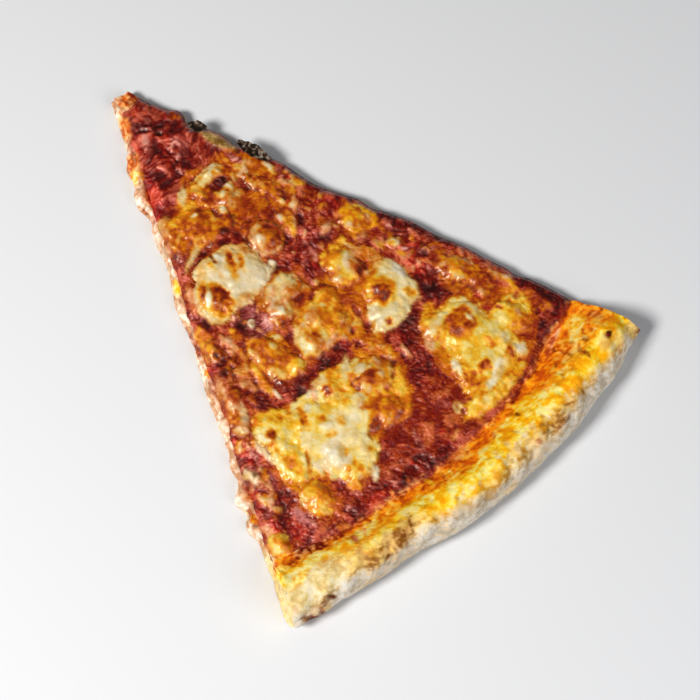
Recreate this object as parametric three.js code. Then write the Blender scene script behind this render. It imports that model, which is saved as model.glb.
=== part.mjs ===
// A slice of cheese pizza: one eighth of a 16-inch round, in millimetres, +Z up.
//
// The shapes are drawn in the slice's own plan: its origin is the point where the two knife cuts
// would meet, X runs from there to the middle of the crust, and Y runs to the upper cut. The group
// at the end moves that plan so that the middle of the slice's box stands over the origin.
//
// From the table upwards: the crust (a flat dough base with the raised rim along its outer edge),
// the tomato sauce on the base, the cheese patches on the sauce, and two charred scraps of basil.
// Each layer is cut from one triangular lattice, so a patch's underside follows the sauce below
// it facet for facet with an even gap between them.

import * as THREE from "three";
import { mergeVertices } from "three/addons/utils/BufferGeometryUtils.js";

// ---------------------------------------------------------------- driving dimensions

const RADIUS = 201.9; // from the meeting point of the cuts to the outside of the rim
const LOWER_CUT = THREE.MathUtils.degToRad(-22.5); // direction of the cut on the -Y side
const UPPER_CUT = THREE.MathUtils.degToRad(21.6); // direction of the cut on the +Y side
const BLUNT_TIP = 5.5; // the sharp point is worn off this far from the meeting point
const BOX_MIDDLE = [102.94, -2.0]; // plan point that stands over the origin

const BASE_TOP = 4.5; // thickness of the flat dough base
const BASE_MIDDLE = 2.2; // height at which the cut side bulges
const SIDE_BULGE = 0.4;
const LOWER_SLANT = 1.8; // how far the top of the base's lower side lies inside its foot
const UPPER_SLANT = 0.3;
const LOWER_LEAN = 0.06; // how far the rim's ends lean in for each millimetre above the base
const UPPER_LEAN = 0.18;
const LOWER_OUT = [3.0, 1.2]; // the lower cut stands this far out at the tip and at the rim
const SIDE_STEP = 4.6; // column spacing along the cut sides

const RIM_WIDTH = 16.3; // from where the base turns up into the rim to its outside
const RIM_STEPS = 44; // stations along the rim
const END_REACH = 0.08; // share of the rim over which its ends follow the cut sides
const RIM_RIPPLE = 0.3; // height of the small ripples on the rim
const RIPPLE_TURNS = 2.3; // radians of ripple for each degree of bearing

const GAP = 0.3; // clear space between neighbouring pieces
const LATTICE = 3.1; // edge length of the lattice triangles
const LATTICE_LENGTH = 194;
const LATTICE_HALF_WIDTH = 82;
const ROW_KEY = 1000; // a lattice point's key is its row times this plus its column

const SAUCE_THICK = 2.1;
const SAUCE_EDGE = 1.2;
const SAUCE_TAPER = 4.0; // distance from its outline over which the sauce gets its thickness
const SAUCE_LUMP = 0.45; // height of the crushed-tomato lumps
// Each wave's radians for each millimetre, its bend, and its share of the whole height.
const TOMATO_WAVES = [
  { alongX: 0.41, alongY: 0.23, bend: 1.7, bendTurns: 0.11, share: 1.0 },
  { alongX: 0.31, alongY: -0.47, bend: 0.8, bendTurns: 0.17, share: 1.0 },
  { alongX: 0.83, alongY: 0.61, bend: 1.9, bendTurns: 0.29, share: 0.6 },
];
const SAUCE_RADIUS = 183.8;
const SAUCE_TIP = 9.5;
const SAUCE_LOWER_INSET = 2.9;
const SAUCE_RAG = 0.35; // how far the sauce's outline runs in and out
const SAUCE_RAG_TURNS = [0.73, 0.59]; // radians of that for each millimetre along X and Y
const SAUCE_UPPER_INSET = 0.3;

const CHEESE_EDGE = 0.6;
const CHEESE_OVERHANG = 0.2; // how far a patch may stand out over the sauce's edge
const CHEESE_TAPER = 4.5; // distance from its outline over which a patch gets its thickness
const DOME_REACH = 1.3; // a dome dies away at this many times its radius
const SHARED_CUT = 0.44; // share of a lattice edge that each of two touching patches keeps
const LEAST_CUT = 0.2;
const MOST_CUT = 0.85;

const CRUST_LOOK = { color: 0xe6c48a, roughness: 0.8 };
const SAUCE_LOOK = { color: 0x8a2c1c, roughness: 0.35 };
const CHEESE_ROUGHNESS = 0.4;
const LEAF_LOOK = { color: 0x23250f, roughness: 0.8 };

// ---------------------------------------------------------------- uneven edges

// Swells along a cut side: distance along the cut, how far it stands out, and its half width.
const LOWER_SWELLS = [
  { at: 33, out: 2.2, spread: 8 },
  { at: 45, out: 2.9, spread: 9 },
  { at: 62, out: 0.9, spread: 6 },
  { at: 87, out: 1.3, spread: 14 },
  { at: 120, out: 0.8, spread: 18 },
  { at: 147, out: 1.2, spread: 5 },
  { at: 158.5, out: 3.2, spread: 6 },
  { at: 168, out: 2.3, spread: 6 },
  { at: 188, out: -0.5, spread: 5 },
];
const UPPER_SWELLS = [
  { at: 16, out: -0.7, spread: 9 },
  { at: 25.5, out: 1.4, spread: 4 },
  { at: 33, out: -2.4, spread: 6 },
  { at: 50, out: -1.3, spread: 6 },
  { at: 83, out: -2.0, spread: 16 },
  { at: 103, out: -1.0, spread: 6 },
  { at: 118, out: 0.7, spread: 9 },
  { at: 137, out: 0.6, spread: 10 },
  { at: 158, out: -0.8, spread: 5 },
  { at: 176, out: -0.5, spread: 5 },
];

// Swells of the rim: bearing in degrees, change in outer radius and in height, half width.
const RIM_SWELLS = [
  { bearing: -22, out: 2.4, up: -0.8, spread: 5.0 },
  { bearing: -15, out: -0.9, up: 0.7, spread: 3.0 },
  { bearing: -9.5, out: -2.5, up: -0.4, spread: 6.0 },
  { bearing: -3, out: -0.5, up: 0.8, spread: 4.0 },
  { bearing: 4, out: 0.2, up: -0.5, spread: 4.0 },
  { bearing: 10, out: 1.2, up: 0.6, spread: 5.0 },
  { bearing: 16.5, out: 1.8, up: -0.6, spread: 5.0 },
  { bearing: 21.5, out: 1.6, up: -3.0, spread: 3.0 },
];

// Swells of the sauce's outer edge along the rim.
const SAUCE_SWELLS = [
  { bearing: -22, out: 1.2, spread: 4 },
  { bearing: -9, out: -0.8, spread: 4 },
  { bearing: 1, out: 1.2, spread: 5 },
  { bearing: 15, out: -2.0, spread: 8 },
];

// The rim's section, from its foot over the crest to the table: how far each point lies inside
// the outer radius, and its height.
const RIM_SECTION = [
  [RIM_WIDTH, BASE_TOP],
  [15.9, 8.0],
  [14.5, 11.4],
  [12.7, 14.2],
  [10.6, 16.0],
  [8.3, 16.9],
  [5.9, 16.7],
  [3.7, 15.4],
  [2.0, 13.1],
  [0.8, 10.2],
  [0.0, 7.0],
  [0.6, 4.0],
  [2.0, 1.5],
  [4.4, 0],
];
const RIM_FOOT = RADIUS - RIM_WIDTH;
const RIM_HEIGHT = Math.max(...RIM_SECTION.map(([, height]) => height));

// ---------------------------------------------------------------- toppings

// A lobe or hollow is an ellipse: middle X, middle Y, half length, half width, turn in degrees.
// A blister is a dome on the patch: middle X, middle Y, radius, height.
const CHEESE = [
  {
    name: "cheese_loop_near_tip",
    color: 0xd9a45c,
    thick: 1.9,
    lobes: [[51, 1.5, 3.6, 7.2, 0], [55, -5, 4.5, 3.4, 0], [60, 1, 6.2, 5.6, 0]],
    hollows: [[54.2, 2.8, 1.9, 2.3, 0]],
    blisters: [[61, 1, 3.5, 0.6]],
  },
  {
    name: "cheese_amber_left",
    color: 0x9d480f,
    thick: 1.7,
    lobes: [[63.5, -14, 8.6, 8.4, 0], [61, -22.5, 8, 4.6, -28], [68, -5.5, 5.4, 5.0, 0]],
    hollows: [],
    blisters: [[64, -13, 6, 0.9]],
  },
  {
    name: "cheese_bubble_small",
    color: 0xa46139,
    thick: 1.8,
    lobes: [[81.5, 2, 6.2, 6.0, 0], [76.5, 0.5, 4.6, 4.2, 0]],
    hollows: [],
    blisters: [[81.5, 2, 4.6, 1.2]],
  },
  {
    name: "cheese_strip_upper",
    color: 0x954319,
    thick: 1.1,
    lobes: [[66, 13.5, 10, 4.2, 8], [76, 14, 6, 4.4, 20]],
    hollows: [],
    blisters: [[73, 16, 3, 0.6]],
  },
  {
    name: "cheese_white_left",
    color: 0xd7b784,
    thick: 2.5,
    lobes: [
      [85.5, -13.5, 9.4, 9.4, 0],
      [79.5, -19.5, 6.4, 7.4, 20],
      [86.5, -26, 8.6, 6.2, 0],
      [92, -20, 4.6, 9.5, 0],
    ],
    hollows: [],
    blisters: [[86.3, -26.3, 4.4, 1.2], [79, -18.5, 2.6, 0.7], [85, -10.5, 2.6, 0.6]],
  },
  {
    name: "cheese_pale_middle",
    color: 0xd9ac73,
    thick: 2.2,
    lobes: [[100, -6.5, 6.4, 7.4, 0], [105.5, -12.5, 5.6, 5.2, 0]],
    hollows: [],
    blisters: [[105, -7.5, 2.6, 0.6], [105.5, -12.5, 2.6, 0.7]],
  },
  {
    name: "cheese_gold_middle",
    color: 0xd38221,
    thick: 2.3,
    lobes: [[117, -3, 8.4, 8.4, 0], [121, -11, 6.0, 7.0, 0], [111.5, 3.5, 5.6, 4.4, 0]],
    hollows: [],
    blisters: [[115, -4, 4, 0.8], [121, -11, 3.4, 0.8], [119, 2, 3, 0.5]],
  },
  {
    name: "cheese_olive_middle",
    color: 0xab6222,
    thick: 1.8,
    lobes: [[114.5, -25, 10.6, 6.2, 0], [123, -21.5, 5, 5, 0]],
    hollows: [],
    blisters: [[113, -25, 5, 0.7], [123, -21, 3, 0.7]],
  },
  {
    name: "cheese_yellow_middle",
    color: 0xe9a748,
    thick: 2.0,
    lobes: [[105.5, 15, 8, 6.6, 0], [110, 12, 4.6, 4.6, 0]],
    hollows: [],
    blisters: [[110.5, 19, 2.8, 0.6], [104, 15, 3.4, 0.6]],
  },
  {
    name: "cheese_white_middle",
    color: 0xe9bd73,
    thick: 2.6,
    lobes: [[123.5, 20, 9.2, 8.8, 0], [129.8, 13.5, 5.0, 8.0, -8], [120, 24.5, 7, 4.8, 0]],
    hollows: [],
    blisters: [[122.5, 18.5, 4.2, 1.2], [129, 25, 2.4, 0.5]],
  },
  {
    name: "cheese_yellow_upper_edge",
    color: 0xbc7a23,
    thick: 1.7,
    lobes: [[95.5, 28.5, 7.8, 5.0, 25]],
    hollows: [],
    blisters: [[96, 28.5, 3.4, 0.6]],
  },
  {
    name: "cheese_amber_upper_edge",
    color: 0xc98424,
    thick: 1.8,
    lobes: [[132, 42.5, 7.4, 5.4, 25], [142, 45.5, 5.5, 4.6, 20]],
    hollows: [],
    blisters: [[132.5, 44, 3.4, 0.7]],
  },
  {
    name: "cheese_by_crust",
    color: 0xe3b646,
    thick: 2.5,
    lobes: [
      [148.5, 31, 8, 8.4, 0],
      [160, 31, 9.5, 10.5, 0],
      [165.5, 22, 7, 7.6, 0],
      [157.5, 45, 7, 5.8, 10],
      [144, 23.5, 6, 5.6, 0],
      [172.4, 20, 4.4, 12.5, 4],
    ],
    hollows: [],
    blisters: [[148.5, 31, 5, 1.1], [158.5, 34, 2.6, 0.6], [166.5, 36, 3.2, 0.7], [164.5, 27, 2.6, 0.6]],
  },
  {
    name: "cheese_wide_patch",
    color: 0xedd483,
    thick: 2.6,
    lobes: [
      [143, -5, 8, 8.5, 0],
      [135.5, -14, 6, 7, 0],
      [149.5, -18, 9.5, 9.5, 0],
      [158.5, -27, 10, 8.5, 0],
      [145, -30, 10.5, 9, 0],
      [136.5, -41.5, 9, 6.4, 0],
      [149, -43.5, 7.5, 6, 0],
      [154.5, -8, 6, 6.4, 0],
    ],
    hollows: [[130.5, -27.5, 4.6, 3.6, 0]],
    blisters: [
      [143.5, -6, 4.4, 1.2],
      [137.5, -18, 2.8, 0.8],
      [145.5, -27, 2.4, 0.6],
      [137.5, -44, 3.4, 0.9],
      [156.5, -32, 3.4, 0.6],
    ],
  },
  {
    name: "cheese_gold_lower",
    color: 0xc47c21,
    thick: 2.1,
    lobes: [[162.5, -45, 7.4, 5.4, 0]],
    hollows: [],
    blisters: [[162, -44.5, 3.6, 0.8]],
  },
  {
    name: "cheese_amber_lower_edge",
    color: 0xd08a2c,
    thick: 1.7,
    lobes: [[101.5, -38.2, 6.4, 4.0, -22]],
    hollows: [],
    blisters: [[101, -38, 2.8, 0.5]],
  },
  {
    name: "cheese_cream_lower_edge",
    color: 0xd9a860,
    thick: 1.7,
    lobes: [[117, -43.5, 8.4, 4.0, -22], [126.5, -47.5, 5, 3.8, -22]],
    hollows: [],
    blisters: [[126, -47.5, 2.6, 0.5]],
  },
  {
    name: "cheese_knob_by_rim",
    color: 0xdba25a,
    thick: 2.2,
    lobes: [[166, -64.2, 4.8, 4.4, 0]],
    hollows: [],
    blisters: [[166, -64, 3, 0.8]],
  },
];

// Crumbs of cheese that are baked into the sauce: middle X, middle Y, radius, height.
const CRUMBS = [
  [92.5, 20, 3.2, 1.0],
  [79.5, 18.5, 2.8, 0.8],
  [84.5, 11, 2.6, 0.7],
  [101.5, -22, 2.4, 0.8],
  [111.5, 33, 2.8, 0.9],
  [119.5, 39.5, 2.6, 0.7],
  [141.5, -56.5, 3.0, 0.9],
  [154.5, -56, 2.6, 0.6],
  [181, -12, 2.4, 0.8],
  [176.5, -43, 3.0, 0.8],
  [24, 4.5, 3.0, 0.7],
];

// Charred basil: middle X, middle Y, height of the underside, length, width, turn, wave height.
const LEAVES = [
  { name: "charred_basil_long", at: [54.0, 19.6, 6.85], length: 14, width: 4.6, turn: 17, wave: 0.6 },
  { name: "charred_basil_short", at: [33.5, 10.8, 6.75], length: 7, width: 4.2, turn: 38, wave: 0.5 },
];
const LEAF_THICK = 0.5;
const LEAF_STEPS = [12, 4];
const LEAF_TIP = 0.25; // width at the leaf's two ends, as a share of its full width
const LEAF_RAG = 0.18; // how far its torn edge goes in and out, as a share of its width
const LEAF_RAG_TURNS = [2.1, 1.3]; // radians of that for each step along and across
const LEAF_WAVE_TURNS = [1.9, 0.6]; // radians of the wave for each millimetre along and across

// ---------------------------------------------------------------- small helpers

const { clamp, degToRad, radToDeg, smoothstep, lerp } = THREE.MathUtils;

// A smooth bump of height one at zero that has died away at one.
function bump(distance) {
  return distance < 1 ? (1 - distance * distance) ** 2 : 0;
}

// How far out all the swells of a side push it at this distance along the cut.
function swellAlong(swells, along) {
  let out = 0;
  for (const swell of swells) {
    out += swell.out * bump(Math.abs(along - swell.at) / swell.spread);
  }
  return out;
}

function swellAtBearing(swells, bearing, key) {
  let sum = 0;
  for (const swell of swells) {
    sum += swell[key] * bump(Math.abs(bearing - swell.bearing) / swell.spread);
  }
  return sum;
}

// Collects triangles and turns them into one closed geometry with shared vertices.
class Skin {
  constructor() {
    this.positions = [];
  }

  triangle(a, b, c) {
    this.positions.push(...a, ...b, ...c);
  }

  quad(a, b, c, d) {
    this.triangle(a, b, c);
    this.triangle(a, c, d);
  }

  // Fills a closed outline of points; plan(point) gives the flat coordinates it is filled in.
  fill(points, plan, flip) {
    const flat = points.map((point) => new THREE.Vector2(...plan(point)));
    for (const [a, b, c] of THREE.ShapeUtils.triangulateShape(flat, [])) {
      if (flip) {
        this.triangle(points[a], points[c], points[b]);
      } else {
        this.triangle(points[a], points[b], points[c]);
      }
    }
  }

  geometry() {
    const soup = new THREE.BufferGeometry();
    soup.setAttribute("position", new THREE.Float32BufferAttribute(this.positions, 3));
    const merged = mergeVertices(soup, 1e-4);
    merged.computeVertexNormals();
    return merged;
  }
}

function named(name, geometry, look) {
  const material = new THREE.MeshStandardMaterial({ ...look, metalness: 0 });
  const mesh = new THREE.Mesh(geometry, material);
  mesh.name = name;
  return mesh;
}

// ---------------------------------------------------------------- crust

// How far inside its foot a cut side lies at this height.
function slant(most, lean, height) {
  const bulge = SIDE_BULGE * bump(Math.abs(height - BASE_MIDDLE) / BASE_MIDDLE);
  return most * smoothstep(height, 0, BASE_TOP) + lean * Math.max(height - BASE_TOP, 0) - bulge;
}

// The foot of the lower cut side without its swells.
function lowerPlain(along) {
  return lerp(LOWER_OUT[0], LOWER_OUT[1], along / RADIUS);
}

function lowerOut(along, height) {
  return lowerPlain(along) + swellAlong(LOWER_SWELLS, along) - slant(LOWER_SLANT, LOWER_LEAN, height);
}

function upperOut(along, height) {
  return swellAlong(UPPER_SWELLS, along) - slant(UPPER_SLANT, UPPER_LEAN, height);
}

function lowerSide(along, height) {
  const out = lowerOut(along, height);
  const x = along * Math.cos(LOWER_CUT) + out * Math.sin(LOWER_CUT);
  const y = along * Math.sin(LOWER_CUT) - out * Math.cos(LOWER_CUT);
  return [x, y, height];
}

function upperSide(along, height) {
  const out = upperOut(along, height);
  const x = along * Math.cos(UPPER_CUT) - out * Math.sin(UPPER_CUT);
  const y = along * Math.sin(UPPER_CUT) + out * Math.cos(UPPER_CUT);
  return [x, y, height];
}

// A point of the rim: step of its profile, and its share of the way from the lower cut to the
// upper one. Its two ends lie on the cut sides.
function rimPoint(step, share) {
  const [inset, plainHeight] = RIM_SECTION[step];
  const plainRadius = RADIUS - inset;
  const angle = lerp(LOWER_CUT, UPPER_CUT, share);
  const bearing = radToDeg(angle);
  const outward = smoothstep(plainRadius, RIM_FOOT, RADIUS);
  const raised = smoothstep(plainHeight, BASE_TOP, RIM_HEIGHT);
  const ripple = RIM_RIPPLE * Math.sin(bearing * RIPPLE_TURNS + step) * raised;
  const height = plainHeight + raised * swellAtBearing(RIM_SWELLS, bearing, "up") + ripple;
  const radius = plainRadius + outward * swellAtBearing(RIM_SWELLS, bearing, "out") + ripple;
  if (share === 0) {
    return lowerSide(radius, height);
  }
  if (share === 1) {
    return upperSide(radius, height);
  }
  const lowerPull = bump(share / END_REACH) * lowerOut(radius, height);
  const upperPull = bump((1 - share) / END_REACH) * upperOut(radius, height);
  const x = radius * Math.cos(angle) + lowerPull * Math.sin(LOWER_CUT) - upperPull * Math.sin(UPPER_CUT);
  const y = radius * Math.sin(angle) - lowerPull * Math.cos(LOWER_CUT) + upperPull * Math.cos(UPPER_CUT);
  return [x, y, height];
}

function crustGeometry() {
  const skin = new Skin();
  const columns = Math.round((RIM_FOOT - BLUNT_TIP) / SIDE_STEP);
  const along = Array.from({ length: columns + 1 }, (_, i) => lerp(BLUNT_TIP, RIM_FOOT, i / columns));
  const levels = [0, BASE_MIDDLE, BASE_TOP];
  const lastStep = RIM_SECTION.length - 1;
  const stations = Array.from({ length: RIM_STEPS + 1 }, (_, i) => i / RIM_STEPS);

  const lower = levels.map((height) => along.map((s) => lowerSide(s, height)));
  const upper = levels.map((height) => along.map((s) => upperSide(s, height)));
  lower[2][columns] = rimPoint(0, 0);
  upper[2][columns] = rimPoint(0, 1);

  for (let level = 0; level < levels.length - 1; level += 1) {
    for (let i = 0; i < columns; i += 1) {
      skin.quad(lower[level][i], lower[level][i + 1], lower[level + 1][i + 1], lower[level + 1][i]);
      skin.quad(upper[level][i], upper[level + 1][i], upper[level + 1][i + 1], upper[level][i + 1]);
    }
    skin.quad(lower[level][0], lower[level + 1][0], upper[level + 1][0], upper[level][0]);
  }

  for (let j = 0; j < RIM_STEPS; j += 1) {
    for (let step = 0; step < lastStep; step += 1) {
      skin.quad(
        rimPoint(step, stations[j]),
        rimPoint(step + 1, stations[j]),
        rimPoint(step + 1, stations[j + 1]),
        rimPoint(step, stations[j + 1]),
      );
    }
  }

  const foot = stations.map((share) => rimPoint(0, share));
  const outside = stations.map((share) => rimPoint(lastStep, share));
  const plan = ([x, y]) => [x, y];
  skin.fill([...lower[2].slice(0, -1), ...foot, ...upper[2].slice(0, -1).reverse()], plan, false);
  skin.fill([...lower[0], ...outside, ...upper[0].slice().reverse()], plan, true);

  for (const end of [0, 1]) {
    const side = end === 0 ? lower : upper;
    const profile = RIM_SECTION.map((_, step) => rimPoint(step, end));
    const outline = [side[0][columns], side[1][columns], ...profile];
    const sideways = ([x, y, z]) => [Math.hypot(x, y), z];
    skin.fill(outline, sideways, end === 1);
  }
  return skin.geometry();
}

// ---------------------------------------------------------------- sauce

function cheeseCrumbs(x, y) {
  let height = 0;
  for (const [crumbX, crumbY, radius, tall] of CRUMBS) {
    height = Math.max(height, tall * bump(Math.hypot(x - crumbX, y - crumbY) / (radius * DOME_REACH)));
  }
  return height;
}

// Crushed tomato: crossing waves of unlike length, between minus one and one.
function tomatoLumps(x, y) {
  let sum = 0;
  let most = 0;
  for (const wave of TOMATO_WAVES) {
    const bend = wave.bend * Math.sin(wave.bendTurns * (x + y));
    sum += wave.share * Math.sin(wave.alongX * x + wave.alongY * y + bend);
    most += wave.share;
  }
  return sum / most;
}

// Distance inside the sauce's outline, negative outside it.
function insideSauce(x, y) {
  const radius = Math.hypot(x, y);
  const bearing = radToDeg(Math.atan2(y, x));
  const fromLower = y * Math.cos(LOWER_CUT) - x * Math.sin(LOWER_CUT);
  const fromUpper = x * Math.sin(UPPER_CUT) - y * Math.cos(UPPER_CUT);
  const rag = SAUCE_RAG * Math.sin(SAUCE_RAG_TURNS[0] * x) * Math.sin(SAUCE_RAG_TURNS[1] * y);
  return rag + Math.min(
    fromLower + lowerPlain(radius) - SAUCE_LOWER_INSET,
    fromUpper + swellAlong(UPPER_SWELLS, radius) - SAUCE_UPPER_INSET,
    SAUCE_RADIUS + swellAtBearing(SAUCE_SWELLS, bearing, "out") - radius,
    x - SAUCE_TIP,
  );
}

function sauceTop(x, y) {
  const full = smoothstep(insideSauce(x, y), 0, SAUCE_TAPER);
  const body = lerp(SAUCE_EDGE, SAUCE_THICK + SAUCE_LUMP * tomatoLumps(x, y), full);
  return BASE_TOP + GAP + body + cheeseCrumbs(x, y);
}

// ---------------------------------------------------------------- cheese

// Distance inside an ellipse, near enough, and negative outside it.
function insideEllipse([middleX, middleY, halfLength, halfWidth, turn], x, y) {
  const angle = degToRad(turn);
  const dx = x - middleX;
  const dy = y - middleY;
  const along = (dx * Math.cos(angle) + dy * Math.sin(angle)) / halfLength;
  const across = (dy * Math.cos(angle) - dx * Math.sin(angle)) / halfWidth;
  return (1 - Math.hypot(along, across)) * Math.min(halfLength, halfWidth);
}

// Distance inside a patch; it ends inside the sauce's edge at the rim.
function insidePatch(patch, x, y) {
  let inside = Math.max(...patch.lobes.map((lobe) => insideEllipse(lobe, x, y)));
  for (const hollow of patch.hollows) {
    inside = Math.min(inside, -insideEllipse(hollow, x, y));
  }
  return Math.min(inside, insideSauce(x, y) + CHEESE_OVERHANG);
}

function patchThickness(patch, inside, x, y) {
  let thickness = lerp(CHEESE_EDGE, patch.thick, smoothstep(inside, 0, CHEESE_TAPER));
  for (const [blisterX, blisterY, radius, height] of patch.blisters) {
    thickness += height * bump(Math.hypot(x - blisterX, y - blisterY) / (radius * DOME_REACH));
  }
  return thickness;
}

// ---------------------------------------------------------------- lattice

// The lattice's points, each with its place and the patch that covers it (-1 for none).
function latticePoints() {
  const rowHeight = LATTICE * Math.sin(Math.PI / 3);
  const lastRow = Math.ceil(LATTICE_HALF_WIDTH / rowHeight);
  const lastColumn = Math.ceil(LATTICE_LENGTH / LATTICE);
  const rows = [];
  for (let row = -lastRow; row <= lastRow; row += 1) {
    const points = [];
    for (let column = 0; column <= lastColumn; column += 1) {
      const x = (column + (row & 1 ? 0.5 : 0)) * LATTICE;
      const y = row * rowHeight;
      const key = rows.length * ROW_KEY + column;
      const sauce = insideSauce(x, y);
      const fields = CHEESE.map((patch) => insidePatch(patch, x, y));
      const best = fields.indexOf(Math.max(...fields));
      const cover = fields[best] > 0 && sauce > 0 ? best : -1;
      points.push({ key, x, y, fields, cover, sauce });
    }
    rows.push({ odd: (row & 1) !== 0, points });
  }
  return rows;
}

// All of the lattice's triangles, counter-clockwise, as triples of points.
function latticeTriangles(rows) {
  const triangles = [];
  for (let r = 0; r + 1 < rows.length; r += 1) {
    const here = rows[r].points;
    const above = rows[r + 1].points;
    for (let c = 0; c + 1 < here.length; c += 1) {
      if (rows[r].odd) {
        triangles.push([here[c], above[c + 1], above[c]]);
        triangles.push([here[c], here[c + 1], above[c + 1]]);
      } else {
        triangles.push([here[c], here[c + 1], above[c]]);
        triangles.push([here[c + 1], above[c + 1], above[c]]);
      }
    }
  }
  return triangles;
}

// The point where a lattice edge leaves a layer, as a share of the way from inside to outside.
function cutShare(layer, inner, outer) {
  if (layer.shares(inner, outer)) {
    return SHARED_CUT;
  }
  const depth = layer.depth(inner);
  const beyond = Math.min(layer.depth(outer), 0);
  return clamp(depth / (depth - beyond), LEAST_CUT, MOST_CUT);
}

// A corner of a layer: a lattice point, or a cut point on the lattice edge between two of them.
function corner(layer, inner, outer) {
  const share = outer ? cutShare(layer, inner, outer) : 0;
  const far = outer || inner;
  const blend = (value) => lerp(value(inner), value(far), share);
  const x = blend((point) => point.x);
  const y = blend((point) => point.y);
  const under = blend((point) => layer.under(point));
  const thickness = layer.thickness(x, y, outer ? 0 : layer.depth(inner));
  const over = layer.over ? blend((point) => layer.over(point)) : under + thickness;
  const key = outer ? `${inner.key}:${outer.key}` : `${inner.key}`;
  return { key, low: [x, y, under], high: [x, y, over] };
}

// The part of one lattice triangle that a layer covers, as a convex loop of corners.
function coveredCorners(layer, triangle) {
  const loop = [];
  for (let i = 0; i < 3; i += 1) {
    const a = triangle[i];
    const b = triangle[(i + 1) % 3];
    if (layer.covers(a)) {
      loop.push(corner(layer, a, null));
    }
    if (layer.covers(a) && !layer.covers(b)) {
      loop.push(corner(layer, a, b));
    }
    if (!layer.covers(a) && layer.covers(b)) {
      loop.push(corner(layer, b, a));
    }
  }
  return loop;
}

// A closed layer: its top, its underside, and the wall around its outline.
function layerGeometry(layer, triangles) {
  const skin = new Skin();
  const edges = new Map();
  for (const triangle of triangles) {
    const loop = coveredCorners(layer, triangle);
    for (let i = 1; i + 1 < loop.length; i += 1) {
      const [a, b, c] = [loop[0], loop[i], loop[i + 1]];
      skin.triangle(a.high, b.high, c.high);
      if (!layer.flatBase) {
        skin.triangle(a.low, c.low, b.low);
      }
      for (const [from, to] of [[a, b], [b, c], [c, a]]) {
        if (!edges.delete(`${to.key}>${from.key}`)) {
          edges.set(`${from.key}>${to.key}`, [from, to]);
        }
      }
    }
  }
  for (const [from, to] of edges.values()) {
    skin.quad(from.low, to.low, to.high, from.high);
  }
  if (layer.flatBase) {
    skin.fill(outlineOf([...edges.values()]), ([x, y]) => [x, y], true);
  }
  return skin.geometry();
}

// The low points around the outline, in order.
function outlineOf(edges) {
  const next = new Map(edges.map(([from, to]) => [from.key, to]));
  const points = [];
  let here = edges[0][0];
  for (let i = 0; i < edges.length; i += 1) {
    points.push(here.low);
    here = next.get(here.key);
  }
  return points;
}

function sauceLayer() {
  return {
    flatBase: true,
    covers: (point) => point.sauce > 0,
    shares: () => false,
    depth: (point) => point.sauce,
    under: () => BASE_TOP + GAP,
    over: (point) => sauceTop(point.x, point.y),
    thickness: () => 0,
  };
}

function cheeseLayer(index) {
  const patch = CHEESE[index];
  return {
    flatBase: false,
    covers: (point) => point.cover === index,
    shares: (inner, outer) => outer.cover >= 0 && outer.cover !== inner.cover,
    depth: (point) => point.fields[index],
    under: (point) => sauceTop(point.x, point.y) + GAP,
    over: null,
    thickness: (x, y, inside) => patchThickness(patch, inside, x, y),
  };
}

// ---------------------------------------------------------------- basil

// A thin wavy leaf. Both faces are split into the same triangles.
function leafGeometry(leaf) {
  const skin = new Skin();
  const [lengthSteps, widthSteps] = LEAF_STEPS;
  const angle = degToRad(leaf.turn);
  const [middleX, middleY, underside] = leaf.at;
  const place = (i, j, lift) => {
    const along = i / lengthSteps;
    const across = (2 * j) / widthSteps - 1;
    const ragged = 1 + LEAF_RAG * Math.sin(LEAF_RAG_TURNS[0] * i + LEAF_RAG_TURNS[1] * j);
    const width = leaf.width * lerp(LEAF_TIP, 1, Math.sin(Math.PI * along)) * ragged;
    const u = (along - 0.5) * leaf.length;
    const v = (across * width) / 2;
    const ripple = (1 + Math.sin(LEAF_WAVE_TURNS[0] * u + LEAF_WAVE_TURNS[1] * v)) / 2;
    const wave = leaf.wave * (ripple + across * across);
    const x = middleX + u * Math.cos(angle) - v * Math.sin(angle);
    const y = middleY + u * Math.sin(angle) + v * Math.cos(angle);
    return [x, y, underside + wave + lift];
  };
  for (let i = 0; i < lengthSteps; i += 1) {
    for (let j = 0; j < widthSteps; j += 1) {
      const low = [place(i, j, 0), place(i + 1, j, 0), place(i + 1, j + 1, 0), place(i, j + 1, 0)];
      const high = low.map(([x, y, z]) => [x, y, z + LEAF_THICK]);
      skin.quad(high[0], high[1], high[2], high[3]);
      skin.triangle(low[0], low[2], low[1]);
      skin.triangle(low[0], low[3], low[2]);
      const sides = [
        [0, 1, j === 0],
        [1, 2, i === lengthSteps - 1],
        [2, 3, j === widthSteps - 1],
        [3, 0, i === 0],
      ];
      for (const [from, to, open] of sides) {
        if (open) {
          skin.quad(low[from], low[to], high[to], high[from]);
        }
      }
    }
  }
  return skin.geometry();
}

// ---------------------------------------------------------------- the slice

const slice = new THREE.Group();
slice.position.set(-BOX_MIDDLE[0], -BOX_MIDDLE[1], 0);
slice.add(named("crust", crustGeometry(), CRUST_LOOK));

const triangles = latticeTriangles(latticePoints());
slice.add(named("tomato_sauce", layerGeometry(sauceLayer(), triangles), SAUCE_LOOK));
CHEESE.forEach((patch, index) => {
  const look = { color: patch.color, roughness: CHEESE_ROUGHNESS };
  slice.add(named(patch.name, layerGeometry(cheeseLayer(index), triangles), look));
});
for (const leaf of LEAVES) {
  slice.add(named(leaf.name, leafGeometry(leaf), LEAF_LOOK));
}

const group = new THREE.Group();
group.add(slice);

export default group;
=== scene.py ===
"""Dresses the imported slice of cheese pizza: dough, tomato sauce, melted cheese and charred basil.

All shapes are drawn in millimetres in the slice's plan: its origin is the point where the two knife
cuts would meet, X runs to the middle of the crust and Y to the upper cut. ROW_SHIFT moves that plan
into the frame, and meshes are written in metres.
"""

import math
import random

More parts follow.
